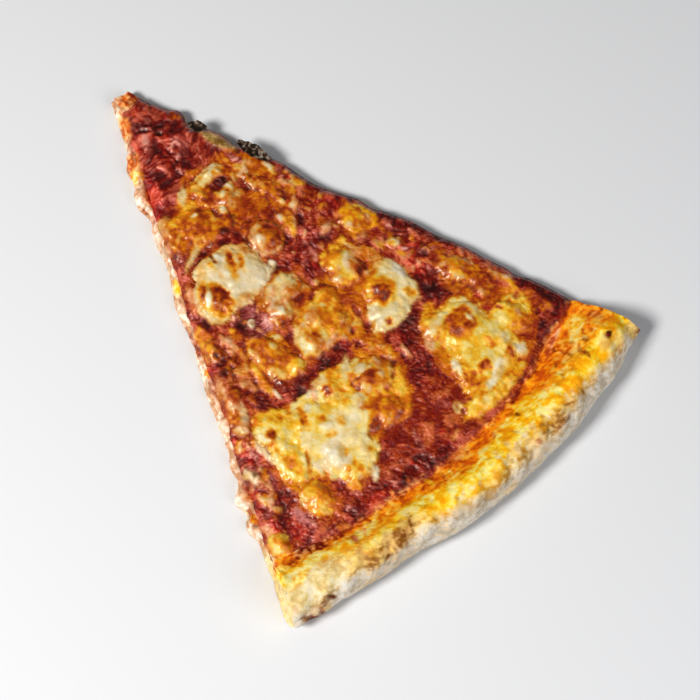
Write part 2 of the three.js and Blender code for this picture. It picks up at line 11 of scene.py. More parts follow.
import bpy
import numpy as np
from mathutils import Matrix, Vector


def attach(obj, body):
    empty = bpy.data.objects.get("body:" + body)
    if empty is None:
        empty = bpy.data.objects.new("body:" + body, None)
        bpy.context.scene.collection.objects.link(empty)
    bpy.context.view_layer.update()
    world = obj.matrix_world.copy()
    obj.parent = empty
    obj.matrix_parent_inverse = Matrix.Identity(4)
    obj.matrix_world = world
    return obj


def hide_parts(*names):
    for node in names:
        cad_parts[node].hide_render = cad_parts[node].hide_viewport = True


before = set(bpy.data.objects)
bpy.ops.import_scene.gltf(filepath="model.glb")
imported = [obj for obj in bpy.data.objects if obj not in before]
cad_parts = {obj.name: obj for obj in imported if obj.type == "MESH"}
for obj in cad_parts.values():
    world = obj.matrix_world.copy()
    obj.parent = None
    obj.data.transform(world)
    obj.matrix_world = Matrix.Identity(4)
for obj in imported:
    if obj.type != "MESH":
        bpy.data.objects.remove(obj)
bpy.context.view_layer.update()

# ---------------------------------------------------------------- driving dimensions (mm, degrees)

MM = 0.001
ROW_SHIFT = (-102.94, 2.0)
# The dough, its cuts and its rim.
RADIUS = 201.9
LOWER_CUT = math.radians(-22.5)
UPPER_CUT = math.radians(21.6)
BLUNT_TIP = 5.5
BASE_TOP = 4.5
BASE_MIDDLE = 2.2
SIDE_BULGE = 0.4
LOWER_SLANT = 1.8
UPPER_SLANT = 0.3
LOWER_LEAN = 0.06
UPPER_LEAN = 0.18
LOWER_OUT = (3.0, 1.2)
RIM_WIDTH = 16.3
END_REACH = 0.08
# From here out, the swells of a cut no longer reach across the slice.
EDGES_PART = 120.0
# What lies on it.
GAP = 0.3
SAUCE_THICK = 2.1
SAUCE_EDGE = 1.2
SAUCE_TAPER = 4.0
SAUCE_LUMP = 0.45
SAUCE_RADIUS = 183.8
SAUCE_TIP = 9.5
SAUCE_LOWER_INSET = 2.9
SAUCE_UPPER_INSET = 0.3
SAUCE_RAG = 0.35
SAUCE_RAG_TURNS = (0.73, 0.59)
CHEESE_TAPER = 4.5
DOME_REACH = 1.3

# Swells along the cut sides: distance along the cut, outward, half width.
LOWER_SWELLS = [
    (33, 2.2, 8), (45, 2.9, 9), (62, 0.9, 6), (87, 1.3, 14), (120, 0.8, 18),
    (147, 1.2, 5), (158.5, 3.2, 6), (168, 2.3, 6), (188, -0.5, 5),
]
UPPER_SWELLS = [
    (16, -0.7, 9), (25.5, 1.4, 4), (33, -2.4, 6), (50, -1.3, 6), (83, -2.0, 16),
    (103, -1.0, 6), (118, 0.7, 9), (137, 0.6, 10), (158, -0.8, 5), (176, -0.5, 5),
]
# Swells of the rim: bearing, outward, upward, half width. Of the sauce: bearing, outward, half width.
RIM_SWELLS = [
    (-22, 2.4, -0.8, 5.0), (-15, -0.9, 0.7, 3.0), (-9.5, -2.5, -0.4, 6.0), (-3, -0.5, 0.8, 4.0),
    (4, 0.2, -0.5, 4.0), (10, 1.2, 0.6, 5.0), (16.5, 1.8, -0.6, 5.0), (21.5, 1.6, -3.0, 3.0),
]
SAUCE_SWELLS = [(-22, 1.2, 4), (-9, -0.8, 4), (1, 1.2, 5), (15, -2.0, 8)]
# The rim's section, from the slope under the sauce: how far inside the outer radius, and height.
RIM_SECTION = [
    (23.0, BASE_TOP), (20.4, 6.2), (17.8, 8.4), (15.3, 11.4), (12.7, 14.2), (10.6, 16.0), (8.3, 16.9),
    (5.9, 16.7), (3.7, 15.4), (2.0, 13.1), (0.8, 10.2), (0.0, 7.0), (0.6, 4.0), (2.0, 1.5), (4.4, 0.0),
]
SLOPE_FOOT = RADIUS - RIM_SECTION[0][0]
RIM_FOOT = RADIUS - RIM_WIDTH
RIM_HEIGHT = 16.9
# The rim's ripple: height in mm, and radians a degree.
RIM_RIPPLE = (0.3, 2.3)
# Crossing waves of the sauce: radians a mm along X and Y, bend, its radians a mm, share.
TOMATO_WAVES = [(0.41, 0.23, 1.7, 0.11, 1.0), (0.31, -0.47, 0.8, 0.17, 1.0), (0.83, 0.61, 1.9, 0.29, 0.6)]

# ---------------------------------------------------------------- cheese patches
# Lobe and hollow: X, Y, half length, half width, turn. Blister: X, Y, radius, height.
CHEESE = {
    "cheese_loop_near_tip": dict(
        cheese="cream", thick=1.9, lobes=[(51, 1.5, 3.6, 7.2, 0), (55, -5, 4.5, 3.4, 0),
                                          (60, 1, 6.2, 5.6, 0)],
        hollows=[(54.2, 2.8, 1.9, 2.3, 0)], blisters=[(61, 1, 3.5, 0.6)]),
    "cheese_amber_left": dict(
        cheese="amber", thick=1.7, lobes=[(63.5, -14, 8.6, 8.4, 0), (61, -22.5, 8, 4.6, -28),
                                          (68, -5.5, 5.4, 5.0, 0)],
        blisters=[(64, -13, 6, 0.9)]),
    "cheese_bubble_small": dict(
        cheese="tan", thick=1.8, lobes=[(81.5, 2, 6.2, 6.0, 0), (76.5, 0.5, 4.6, 4.2, 0)],
        blisters=[(81.5, 2, 4.6, 1.2)]),
    "cheese_strip_upper": dict(
        cheese="film", thick=1.1, lobes=[(66, 13.5, 10, 4.2, 8), (76, 14, 6, 4.4, 20)],
        blisters=[(73, 16, 3, 0.6)]),
    "cheese_white_left": dict(
        cheese="cream", thick=2.5,
        lobes=[(85.5, -13.5, 9.4, 9.4, 0), (79.5, -19.5, 6.4, 7.4, 20), (86.5, -26, 8.6, 6.2, 0),
               (92, -20, 4.6, 9.5, 0)],
        blisters=[(86.3, -26.3, 4.4, 1.2), (79, -18.5, 2.6, 0.7), (85, -10.5, 2.6, 0.6)]),
    "cheese_pale_middle": dict(
        cheese="tan", thick=2.2, lobes=[(100, -6.5, 6.4, 7.4, 0), (105.5, -12.5, 5.6, 5.2, 0)],
        blisters=[(105, -7.5, 2.6, 0.6), (105.5, -12.5, 2.6, 0.7)]),
    "cheese_gold_middle": dict(
        cheese="gold", thick=2.3, lobes=[(117, -3, 8.4, 8.4, 0), (121, -11, 6.0, 7.0, 0),
                                         (111.5, 3.5, 5.6, 4.4, 0)],
        blisters=[(115, -4, 4, 0.8), (121, -11, 3.4, 0.8), (119, 2, 3, 0.5)]),
    "cheese_olive_middle": dict(
        cheese="amber", thick=1.8, lobes=[(114.5, -25, 10.6, 6.2, 0), (123, -21.5, 5, 5, 0)],
        blisters=[(113, -25, 5, 0.7), (123, -21, 3, 0.7)]),
    "cheese_yellow_middle": dict(
        cheese="honey", thick=2.0, lobes=[(105.5, 15, 8, 6.6, 0), (110, 12, 4.6, 4.6, 0)],
        blisters=[(110.5, 19, 2.8, 0.6), (104, 15, 3.4, 0.6)]),
    "cheese_white_middle": dict(
        cheese="ivory", thick=2.6, lobes=[(123.5, 20, 9.2, 8.8, 0), (129.8, 13.5, 5.0, 8.0, -8),
                                          (120, 24.5, 7, 4.8, 0)],
        blisters=[(122.5, 18.5, 4.2, 1.2), (129, 25, 2.4, 0.5)]),
    "cheese_yellow_upper_edge": dict(
        cheese="straw", thick=1.7, lobes=[(95.5, 28.5, 7.8, 5.0, 25)],
        blisters=[(96, 28.5, 3.4, 0.6)]),
    "cheese_amber_upper_edge": dict(
        cheese="honey", thick=1.8, lobes=[(132, 42.5, 7.4, 5.4, 25), (142, 45.5, 5.5, 4.6, 20)],
        blisters=[(132.5, 44, 3.4, 0.7)]),
    "cheese_by_crust": dict(
        cheese="honey", thick=2.5,
        lobes=[(148.5, 31, 8, 8.4, 0), (160, 31, 9.5, 10.5, 0), (165.5, 22, 7, 7.6, 0),
               (157.5, 45, 7, 5.8, 10),
               (144, 23.5, 6, 5.6, 0), (172.4, 20, 4.4, 12.5, 4)],
        blisters=[(148.5, 31, 5, 1.1), (158.5, 34, 2.6, 0.6), (166.5, 36, 3.2, 0.7),
                  (164.5, 27, 2.6, 0.6)]),
    "cheese_wide_patch": dict(
        cheese="butter", thick=2.6,
        lobes=[(143, -5, 8, 8.5, 0), (135.5, -14, 6, 7, 0), (149.5, -18, 9.5, 9.5, 0),
               (158.5, -27, 10, 8.5, 0),
               (145, -30, 10.5, 9, 0), (136.5, -41.5, 9, 6.4, 0), (149, -43.5, 7.5, 6, 0),
               (154.5, -8, 6, 6.4, 0)],
        hollows=[(130.5, -27.5, 4.6, 3.6, 0)],
        blisters=[(143.5, -6, 4.4, 1.2), (137.5, -18, 2.8, 0.8), (145.5, -27, 2.4, 0.6),
                  (137.5, -44, 3.4, 0.9),
                  (156.5, -32, 3.4, 0.6)]),
    "cheese_gold_lower": dict(
        cheese="honey", thick=2.1, lobes=[(162.5, -45, 7.4, 5.4, 0)],
        blisters=[(162, -44.5, 3.6, 0.8)]),
    "cheese_amber_lower_edge": dict(
        cheese="orange", thick=1.7, lobes=[(101.5, -38.2, 6.4, 4.0, -22)],
        blisters=[(101, -38, 2.8, 0.5)]),
    "cheese_cream_lower_edge": dict(
        cheese="peach", thick=1.7, lobes=[(117, -43.5, 8.4, 4.0, -22), (126.5, -47.5, 5, 3.8, -22)],
        blisters=[(126, -47.5, 2.6, 0.5)]),
    "cheese_knob_by_rim": dict(
        cheese="butter", thick=2.2, lobes=[(166, -64.2, 4.8, 4.4, 0)],
        blisters=[(166, -64, 3, 0.8)]),
}
# Crumbs of cheese baked into the sauce: X, Y, radius, height.
CRUMBS = [
    (92.5, 20, 3.2, 1.0), (79.5, 18.5, 2.8, 0.8), (84.5, 11, 2.6, 0.7), (101.5, -22, 2.4, 0.8),
    (111.5, 33, 2.8, 0.9), (119.5, 39.5, 2.6, 0.7), (141.5, -56.5, 3.0, 0.9), (154.5, -56, 2.6, 0.6),
    (181, -12, 2.4, 0.8), (176.5, -43, 3.0, 0.8), (24, 4.5, 3.0, 0.7),
]

# ---------------------------------------------------------------- tones

# All tones are sRGB as they look in the light, from a food's darkest spots to its lightest.
# Wet pulp and dough: tones, how pulpy the surface is, how far it stands up in mm.
RAMPS = {
    "sauce": ("450904 661410 80241A 9C3A28 C05C48", 1.0, 0.0),
    "dark": ("300402 4A0904 5E140E 742218 98402E", 1.0, -0.4),
    "crimson": ("6A0D06 8A140C A81C12 BC3222 D25A44", 0.9, 0.0),
    "plum": ("4E1412 6C2624 8A3E3C A65A58 C88280", 1.0, -0.1),
    # The pink tone is also laid as painted highlights on the sauce's lumps.
    "rose": ("86342C A85246 C0685A D68A7A E4B0A0", 1.0, 0.15),
    "rust": ("661606 7C240C 8C3014 9C401E B45A32", 0.6, 0.0),
    "brick": ("70180A 8A2816 983822 B04E34 D07854", 1.0, 0.0),
    "bark": ("4A1804 682204 842F0A 9C4622 BA6A3A", 0.6, -0.1),
    "khaki": ("6E4A1C 86602A A07C40 B49054 CCAA6C", 0.2, 0.2),
    "dough": ("BE8862 D8A27C E4B896 EDCBAE F6E8D6", 0.0, 0.0),
    "smeared": ("8E2E0E B85020 D47E42 E8A468 F4C896", 0.3, 0.0),
    "stained": ("741A08 923212 AE4C1C C8682E E29A5E", 0.5, 0.0),
    "toasted": ("BB4D10 DC6C2A EE8E42 F4A452 F6C07B", 0.2, 0.0),
    "rim_orange": ("CC540A E8740E FF8A14 FFA01C FFBA40", 0.0, 0.0),
    "rim_yellow": ("F09C14 FCB41A FFCA2C FFDA54 FFEA90", 0.0, 0.0),
    "rim_pale": ("CCB074 DCC488 E2CE96 E4D4A6 E8DCBC", 0.0, 0.0),
    "rim_gold": ("B8822A CC9C48 DAB060 E4BC6C F4CE72", 0.0, 0.0),
    "rim_brown": ("7A4614 9A6634 B6864E CCA05E E4BA70", 0.0, 0.0),
    "flour": ("9C8C76 BCAA90 D0C4B2 DED6CA EAE6DE", 0.0, 0.0),
    "char": ("140C0C 221818 342824 4A3C34 8A7C70", 0.0, 0.0),
}
# Cheese from barely melted white to burnt, where it is pinkish, creamy and yellow.
BROWNING = [
    "F8E8D8 F2CDAC EAA67A DC8450 C85E2C AC4016 82220A 520E04",
    "F6ECD4 E8D2A6 DEB87E D89A50 CC7428 B04C12 862A0C 541006",
    "FBF6DC F6E39C F4CC50 F0AC24 E48A14 C8640C 9C4008 661E04",
]
# Cheeses: browning from 0 to 1, hue from 0 pinkish over 1 creamy to 2 yellow, pulp, height in mm.
# The whitest cheese and the pinkish one are also laid as painted highlights: small white and pink spots where
# light glints on blisters and lumps.
CHEESES = {
    "milk": (0.04, 1.2, 0.0, 0.4), "bone": (0.13, 1.0, 0.0, 0.35), "ivory": (0.18, 1.4, 0.0, 0.35),
    "cream": (0.25, 1.2, 0.0, 0.35), "butter": (0.20, 1.9, 0.0, 0.3), "lemon": (0.30, 2.0, 0.0, 0.3),
    "sun": (0.31, 2.0, 0.0, 0.25), "peach": (0.33, 0.3, 0.3, 0.4), "honey": (0.47, 1.9, 0.1, 0.25),
    "tan": (0.50, 1.0, 0.2, 0.3), "gold": (0.52, 1.6, 0.2, 0.25), "straw": (0.53, 2.0, 0.1, 0.2),
    "orange": (0.57, 1.8, 0.3, 0.1), "amber": (0.67, 1.7, 0.1, 0.1), "olive": (0.69, 1.9, 0.3, 0.1),
    "film": (0.72, 1.6, 0.45, 0.0), "ember": (0.75, 1.6, 0.3, 0.0), "scorch": (0.83, 1.4, 0.2, 0.0),
}

# Paint on the toppings: food, X and Y from the slice's middle (MIDDLE mm from the cuts' meeting
# point), half length, half width, turn, strength. Later ones lie over earlier ones.
MIDDLE = 101.5
# Some spots below are painted highlights and painted shadows; the headings say where.
TOPPING_PAINT = [
    ("rust", 62, 0, 13, 15, 0, 0.9), ("rust", 70, -22, 8, 16, 8, 0.6), ("brick", 16, 36, 16, 7, 18, 0.8),
    ("brick", -22, 20, 16, 7, 20, 0.7), ("brick", 40, 46, 18, 9, 15, 0.8),
    ("brick", 6, -38, 18, 6, -15, 0.8),
    # the bare sauce near the tip, with painted pink highlights on two of its lumps
    ("dark", -80, 2.5, 7, 3, 10, 0.9), ("ember", -90, 2, 5, 2, 22, 0.8),
    ("ember", -77.5, 8, 2.8, 2.6, 0, 0.9), ("khaki", -59, 13.2, 8, 2.6, 18, 1.0),
    ("toasted", -85, -8, 5, 2, -25, 0.9), ("crimson", -76, -11, 5, 2, -30, 0.8),
    ("toasted", -72, -14, 5, 2, -30, 0.7), ("honey", -68, -17, 3, 3, -40, 0.8),
    ("crimson", -57, -17.2, 8.5, 2.6, -22, 1.0), ("crimson", -51, -22, 3, 2.5, 0, 0.9),
    ("dark", -58, -1, 2.4, 6, 0, 0.9), ("dark", -50, 9.2, 6.5, 1.4, 3, 0.95),
    ("dark", -55, -9.5, 3.6, 2.4, -40, 0.7), ("rose", -66, 2.5, 4.5, 2, -20, 0.5),
    ("rose", -74, -6.5, 5, 1.6, -20, 0.5),
    # the film and strands behind it, with two painted white highlights
    ("film", -40, 13, 17, 7, 12, 1.0), ("film", -38, -4, 15, 19, 10, 1.0), ("film", -31, 3, 7, 9, 0, 1.0),
    ("ember", -55.5, -3, 2.2, 5, 0, 0.9), ("dark", -41, 8.2, 4.5, 2.0, 15, 0.9),
    ("gold", -49, -5, 3.4, 2.8, 0, 0.9), ("ember", -47, -1, 3, 3, 0, 0.8),
    ("dark", -46.4, 3.0, 2.6, 4.4, -12, 1.0), ("bone", -51.2, 5.4, 2.4, 2.6, 0, 1.0),
    ("ivory", -50.4, 0.4, 2.2, 4.6, 5, 1.0), ("cream", -50.5, -10, 4, 1.6, -42, 1.0),
    ("ivory", -41, 1.4, 4.2, 2.2, 30, 1.0), ("bone", -43, 4.4, 2.2, 1.7, -35, 1.0),
    ("tan", -38, 3, 3.6, 4.6, 0, 0.9), ("ember", -35, 6, 3, 2, 0, 0.8),
    ("ember", -41.5, -3, 3.6, 2.4, 0, 0.8), ("milk", -37.3, -2.8, 1.6, 1.2, 0, 1.0),
    ("dark", -37.5, -5.2, 3, 0.8, 8, 0.9), ("honey", -38, -8, 5, 2, -20, 0.8),
    ("honey", -45, -13, 2.6, 6.5, 5, 1.0), ("amber", -38.5, -13.5, 5.5, 6.5, 20, 1.0),
    ("ember", -36.5, -19, 3.6, 4.4, 25, 0.9), ("honey", -44.5, -18.5, 2.4, 3.4, 0, 0.9),
    ("milk", -42, -11.8, 1.0, 1.0, 0, 0.9), ("ember", -39, -21.6, 4, 1.4, -20, 0.8),
    ("peach", -41.5, -24.6, 6, 2.2, -28, 1.0), ("cream", -47.6, -22, 2.2, 4, 0, 0.9),
    ("cream", -31, -21, 6.5, 1.4, -62, 1.0), ("sauce", -27.5, -8, 5, 4.6, 0, 0.95),
    ("dark", -29.2, -19.5, 6.4, 1.6, -74, 1.0), ("ember", -34, -24, 3, 2, -50, 0.7),
    # bits along the upper cut
    ("peach", -44.3, 11.6, 1.1, 2.4, 15, 0.9), ("peach", -38, 13.6, 4, 1.0, -12, 0.9),
    ("orange", -41, 16.2, 5, 1.3, -5, 0.8), ("peach", -46, 15.4, 2, 1.1, 20, 0.8),
    ("rose", -50, 13, 4, 1.2, 10, 0.8), ("crimson", -34.6, 19.6, 1.6, 1.6, 0, 0.9),
    ("dark", -30, 17, 4.4, 1.5, -18, 0.9), ("peach", -32, 20, 2.4, 0.9, 25, 0.8),
    ("honey", -29, 23.4, 2.6, 2, 20, 0.9), ("orange", -36.5, 21.2, 3, 1.0, 20, 0.8),
    ("milk", -39.6, 19.8, 2.8, 0.9, 0, 0.9), ("peach", -23.5, 17.2, 3.4, 1.5, -35, 0.9),
    ("orange", -19.5, 12, 4.4, 2.4, -20, 0.8), ("peach", -18, 13, 2, 0.8, -30, 0.8),
    ("honey", -16, 10.2, 2.2, 1.5, -30, 0.9), ("milk", -22.4, 10.3, 1.2, 0.6, 0, 0.8),
    ("ember", -22, 25.6, 5, 1.8, 25, 0.9), ("crimson", -15, 27, 5, 2.4, 20, 0.7),
    ("peach", -9, 19.6, 1.7, 3.2, 25, 0.9), ("orange", -12, 19.5, 2, 2, 0, 0.6),
    ("ember", -12.5, 30.6, 3, 1.4, 28, 0.9), ("straw", -5, 31, 7.4, 4.6, 28, 1.0),
    ("orange", -1.5, 31, 2.6, 2.2, 0, 0.9), ("honey", -2.5, 26.5, 5.6, 2.4, -15, 1.0),
    ("peach", -4, 27, 2.2, 1.0, 45, 0.8), ("dark", -18, 15.6, 2.4, 1.2, -30, 0.8),
    ("rose", -5, 10.5, 3, 0.9, -30, 0.6),
    # the round blister, with painted highlights on its lower side
    ("film", -28, 3, 4, 8, 0, 0.8), ("dark", -19.2, 1.6, 7.6, 7.2, 0, 0.7),
    ("tan", -19.8, 1.8, 6.6, 6.4, 0, 1.0), ("peach", -21.6, -2.4, 4.4, 2.2, -30, 0.7),
    ("peach", -15, 0, 1.0, 4, -15, 0.6), ("ember", -19.6, 2.6, 4.6, 4.4, 0, 1.0),
    ("scorch", -20.6, 4.2, 3.0, 1.8, 10, 0.8), ("peach", -20.2, -0.4, 2.6, 1.3, -12, 0.9),
    ("milk", -20.8, -0.6, 1.2, 0.5, -20, 0.8), ("dark", -20.6, -4.8, 6, 0.7, -8, 0.9),
    ("milk", -11.7, -2.7, 1.5, 1.0, 0, 1.0),
    # the white patch with its two browned spots, a painted highlight on the lower one and a painted shadow
    # along its right edge
    ("cream", -17, -15, 11, 11, 0, 1.0), ("cream", -13, -27, 8, 6, 0, 1.0),
    ("bone", -11.5, -13, 4.6, 10, -10, 1.0), ("bone", -18, -19.5, 5, 4, 0, 0.9),
    ("tan", -21, -6.6, 3.6, 2, 0, 0.9), ("ember", -18, -10.6, 3.4, 1.3, -25, 0.9),
    ("scorch", -21, -12.8, 3.6, 1.0, -18, 1.0), ("milk", -24.5, -15.4, 2.6, 1.2, 10, 0.8),
    ("dark", -26.5, -17.1, 1.2, 0.5, 0, 0.9), ("dark", -24, -17.3, 0.9, 0.6, 0, 0.9),
    ("orange", -24, -19, 2, 1.0, 0, 0.9), ("honey", -16.5, -15.6, 4, 1.2, -10, 0.6),
    ("honey", -13.4, -26.2, 8.2, 5.4, 5, 1.0), ("ember", -12.4, -25.4, 5.6, 3.2, 12, 1.0),
    ("scorch", -14, -22.8, 4.4, 2.2, 8, 1.0), ("scorch", -17.2, -26.4, 2.4, 2.6, 0, 1.0),
    ("milk", -15.2, -27.2, 3.4, 1.3, -30, 1.0), ("bark", -16.6, -28.6, 2.2, 1.0, -20, 0.8),
    ("cream", -10.5, -31.6, 5, 1.4, 12, 0.9), ("dark", -4.7, -18, 0.8, 9, -3, 0.9),
    ("dark", -10.5, -34.4, 4.4, 1.8, 5, 1.0), ("peach", -20, -31, 5, 1.6, -10, 0.9),
    # between the patches
    ("plum", 1, -21, 6.6, 6.6, 0, 0.9), ("dark", -1.8, -24.6, 3, 1.8, 0, 0.8),
    ("milk", 0.7, -22, 1.5, 1.3, 0, 1.0), ("plum", -3.5, -13, 4.4, 1.8, -38, 0.9),
    ("rose", 3, -17.6, 4, 1.2, -20, 0.6), ("ember", 0.5, -28.6, 4, 2, 5, 1.0),
    ("honey", -1.6, -28.4, 1.6, 1.6, 0, 0.8), ("peach", 0, -32.4, 3.6, 0.8, 12, 0.9),
    ("bark", 13, -37, 14, 5, -3, 1.0), ("ember", 10, -32.6, 8, 2.2, -5, 0.9),
    ("dark", 5, -37.6, 1.5, 3, 0, 0.8), ("tan", 9, -36.4, 3, 1.8, 0, 0.8),
    ("plum", 24, -38.4, 3, 2.2, 0, 0.7), ("orange", -4, -38.4, 7.4, 3, -18, 1.0),
    ("crimson", -3, -42, 3.6, 1.4, -20, 0.8), ("crimson", 4.6, -43, 2.2, 3, 0, 0.9),
    ("orange", 2, -38.6, 2, 2.6, 0, 0.8), ("film", 15, 6, 14, 5.4, 0, 1.0), ("film", 33, 2, 10, 6, 0, 1.0),
    # the pale, the golden and the olive patch in the middle, with a painted highlight on the pale one
    ("tan", 1, -8, 7.6, 9.4, -15, 1.0), ("cream", -3, -9, 3, 5, 25, 0.8),
    ("ivory", -3.4, -3.6, 3.2, 4.4, -20, 1.0), ("ember", 4.8, -5, 2.2, 5, 5, 1.0),
    ("scorch", 5, -6.4, 1.1, 3.6, 5, 0.7), ("peach", 2.6, -9.6, 1.6, 2.4, 20, 0.8),
    ("peach", 0.4, -13, 6, 1.1, -42, 1.0), ("milk", 4.4, -11.8, 2, 1.2, 0, 1.0),
    ("ember", 6.4, -14, 3, 1.5, 0, 0.8), ("gold", 16, -4.4, 9, 9.4, 0, 1.0),
    ("orange", 18, -1.4, 6, 4, 0, 1.0), ("lemon", 18.6, 1.6, 3, 1.6, -10, 0.7),
    ("peach", 12.4, -6, 2.4, 3, 30, 0.7), ("scorch", 17.4, -8.4, 2, 1.1, 0, 0.8),
    ("peach", 15, -10.4, 6, 1.0, -10, 0.7), ("ivory", 15, -13.6, 5, 1.8, -25, 1.0),
    ("ivory", 20, -14.2, 3, 2.2, 0, 0.9), ("peach", 23.3, -7, 0.8, 4.6, 12, 1.0),
    ("honey", 12, 1, 5, 3.6, 0, 0.8), ("gold", 19, 1.6, 8, 2.2, -10, 0.9),
    ("olive", 14, -20.6, 8, 3.6, 0, 1.0), ("tan", 13, -19.6, 4.6, 2.6, 0, 0.8),
    ("lemon", 22, -21.6, 2.4, 4.6, 5, 1.0), ("amber", 15, -26.6, 9.4, 3, 0, 1.0),
    ("scorch", 23.4, -28.6, 3.4, 1.3, 0, 0.8), ("honey", 15, -31.4, 6, 1.7, -18, 1.0),
    ("honey", 21, -33, 4, 1.5, 0, 0.9), ("peach", 11, -28.6, 3, 0.8, -20, 0.7),
    ("milk", 25.4, -31.8, 1.8, 0.6, 0, 0.8), ("dark", 28, -9.6, 3.4, 6.4, 0, 1.0),
    ("crimson", 27, -3.4, 2, 2, 0, 0.6), ("ember", 32, -12.6, 1.7, 2.4, 0, 0.9),
    ("dark", 31, -26.6, 5.6, 3, -8, 1.0), ("ember", 32.5, -33, 4, 1.8, -20, 0.9),
    ("sauce", 27, -20, 1.5, 5, 0, 0.9),
    # the yellow patch and the white one with the round browned blister; painted shadows lie along the white
    # one's right and lower edges
    ("honey", 5, 17, 8.4, 5, -30, 1.0), ("orange", 0, 18.6, 4, 3, 0, 0.9),
    ("ivory", 4.6, 16.6, 4.6, 1.7, -30, 1.0), ("honey", 8.6, 11.4, 3.4, 3, 0, 1.0),
    ("tan", 9.5, 21, 7, 6.4, -12, 1.0), ("amber", 15, 16, 4, 5, 0, 1.0),
    ("scorch", 9.2, 19.4, 4.2, 3.2, -15, 1.0), ("bark", 9, 19.2, 2.8, 2.0, -15, 0.6),
    ("scorch", 12, 17.6, 3, 1.6, -30, 0.8), ("peach", 3, 21, 4, 0.8, 5, 0.8),
    ("film", 5, 8.6, 4.6, 2, -30, 0.9), ("tan", 7.4, 29, 3, 1.1, 10, 0.8),
    ("ivory", 22, 24.6, 10, 4.6, 0, 1.0), ("ivory", 28.4, 16, 5, 9.4, 4, 1.0),
    ("ivory", 17.4, 23, 4, 4, 0, 1.0), ("milk", 19, 27.6, 4, 1.4, -8, 1.0),
    ("orange", 27.6, 25.2, 2.2, 1.9, 0, 1.0), ("honey", 21, 18.2, 6, 5.4, 0, 1.0),
    ("scorch", 21.4, 17.8, 3.8, 3.6, 0, 1.0), ("straw", 15.4, 19, 2, 4, 25, 0.8),
    ("ember", 30.6, 12.8, 1.0, 1.1, 0, 1.0), ("bone", 27, 10, 5, 2.4, -20, 1.0),
    ("amber", 19, 12.4, 3, 1.8, 0, 0.9), ("dark", 34.2, 16, 0.8, 8, 0, 0.9),
    ("dark", 23, 6.6, 6, 1.0, -12, 0.8),
    # the red upper side
    ("crimson", 18, 35, 9, 4, -10, 0.6), ("dark", 8, 37.4, 6, 3.4, 0, 0.6),
    ("dark", 28.5, 33.4, 5, 2.8, -40, 0.9), ("ivory", 10, 33.4, 2.2, 1.9, -20, 0.9),
    ("peach", 18.4, 40, 3, 0.9, 0, 0.9), ("peach", 21, 35, 1.6, 0.7, -30, 0.8),
    ("peach", 16.6, 34.6, 0.8, 2, 20, 0.7), ("peach", 24, 38, 2, 0.7, 30, 0.7),
    ("rose", 5, 35.6, 2, 1.1, 0, 0.7), ("ember", 21.6, 42.8, 3.8, 2.6, 0, 1.0),
    ("dark", 12, 43.4, 8, 1.4, 22, 0.9), ("film", 34, 42, 10, 6, 10, 1.0),
    ("honey", 30, 42.6, 5, 2.4, -40, 1.0), ("amber", 35, 47.4, 5, 2.4, 5, 1.0),
    ("scorch", 33, 47, 2.4, 1.4, 0, 0.9), ("film", 46, 47, 11, 7, 15, 1.0),
    ("orange", 44, 46, 4, 3, 0, 0.7), ("crimson", 46.4, 50, 4.6, 2.2, 0, 0.7),
    ("crimson", 45, 41, 3.6, 1.8, 0, 0.8), ("peach", 41, 51, 3, 0.9, 10, 0.7),
    ("peach", 36, 37, 3, 1.2, 30, 0.6),
    # the patch by the crust, with painted highlights on its browned disc and below it
    ("film", 55, 34, 18, 20, 0, 1.0), ("sun", 57, 30, 14, 11, 0, 1.0), ("straw", 44, 22.6, 5, 3, -30, 0.8),
    ("lemon", 61, 34, 8, 8, 0, 0.9), ("honey", 55, 46, 5, 8, 0, 1.0), ("honey", 71.4, 20, 4, 12, 5, 1.0),
    ("honey", 42, 22.6, 8, 4.6, -35, 1.0), ("butter", 40.6, 31.6, 2.6, 7.2, 0, 1.0),
    ("ivory", 44.6, 37.4, 5.2, 2.0, 8, 1.0), ("cream", 42.2, 23, 2.0, 4.4, 25, 0.9),
    ("ember", 47, 30.4, 5.8, 5.4, 0, 1.0), ("scorch", 46, 29, 3, 2.4, 0, 0.3),
    ("olive", 51, 28.6, 3, 2.2, -30, 0.9), ("peach", 48.6, 34.2, 2.4, 0.7, -30, 0.8),
    ("milk", 47.4, 33.4, 1.3, 0.7, 0, 0.9), ("lemon", 54.4, 34.8, 3.6, 4.4, 0, 1.0),
    ("butter", 54, 35, 2, 3, 0, 0.9), ("lemon", 60.6, 31.6, 7.4, 2.6, -42, 1.0),
    ("butter", 61, 31, 5, 1.2, -42, 0.9), ("lemon", 55.6, 25, 5, 3.6, 0, 0.9),
    ("ivory", 60.6, 37.4, 3, 1.8, 10, 0.9), ("orange", 57.6, 33.2, 1.2, 1.2, 0, 0.9),
    ("ivory", 67.6, 29, 7.4, 2.2, -68, 1.0), ("milk", 69.4, 23, 1.4, 3, 5, 0.9),
    ("milk", 66.6, 28, 3.6, 0.9, -62, 0.8), ("ember", 65.2, 36, 2.2, 2.2, 0, 1.0),
    ("scorch", 65, 35.8, 1.2, 1.2, 0, 0.7), ("bone", 66.6, 39.8, 3, 2.4, -30, 1.0),
    ("lemon", 71, 34.6, 1.8, 3, 0, 0.9), ("ember", 63, 26.4, 2.4, 2.8, 0, 1.0),
    ("scorch", 63, 26.8, 1.3, 1.5, 0, 0.8), ("orange", 58, 21.9, 2.4, 1.4, 0, 0.9),
    ("ember", 63.4, 21.4, 1.8, 1.3, 0, 0.9), ("ivory", 58, 19, 4.4, 1.3, -18, 1.0),
    ("milk", 57.4, 18.8, 2.2, 0.7, -18, 0.9), ("peach", 44.6, 18.2, 4, 1.8, -30, 1.0),
    ("ivory", 72.8, 18, 1.6, 4.4, 8, 0.9), ("ivory", 68, 10.2, 2.4, 1.8, 0, 1.0),
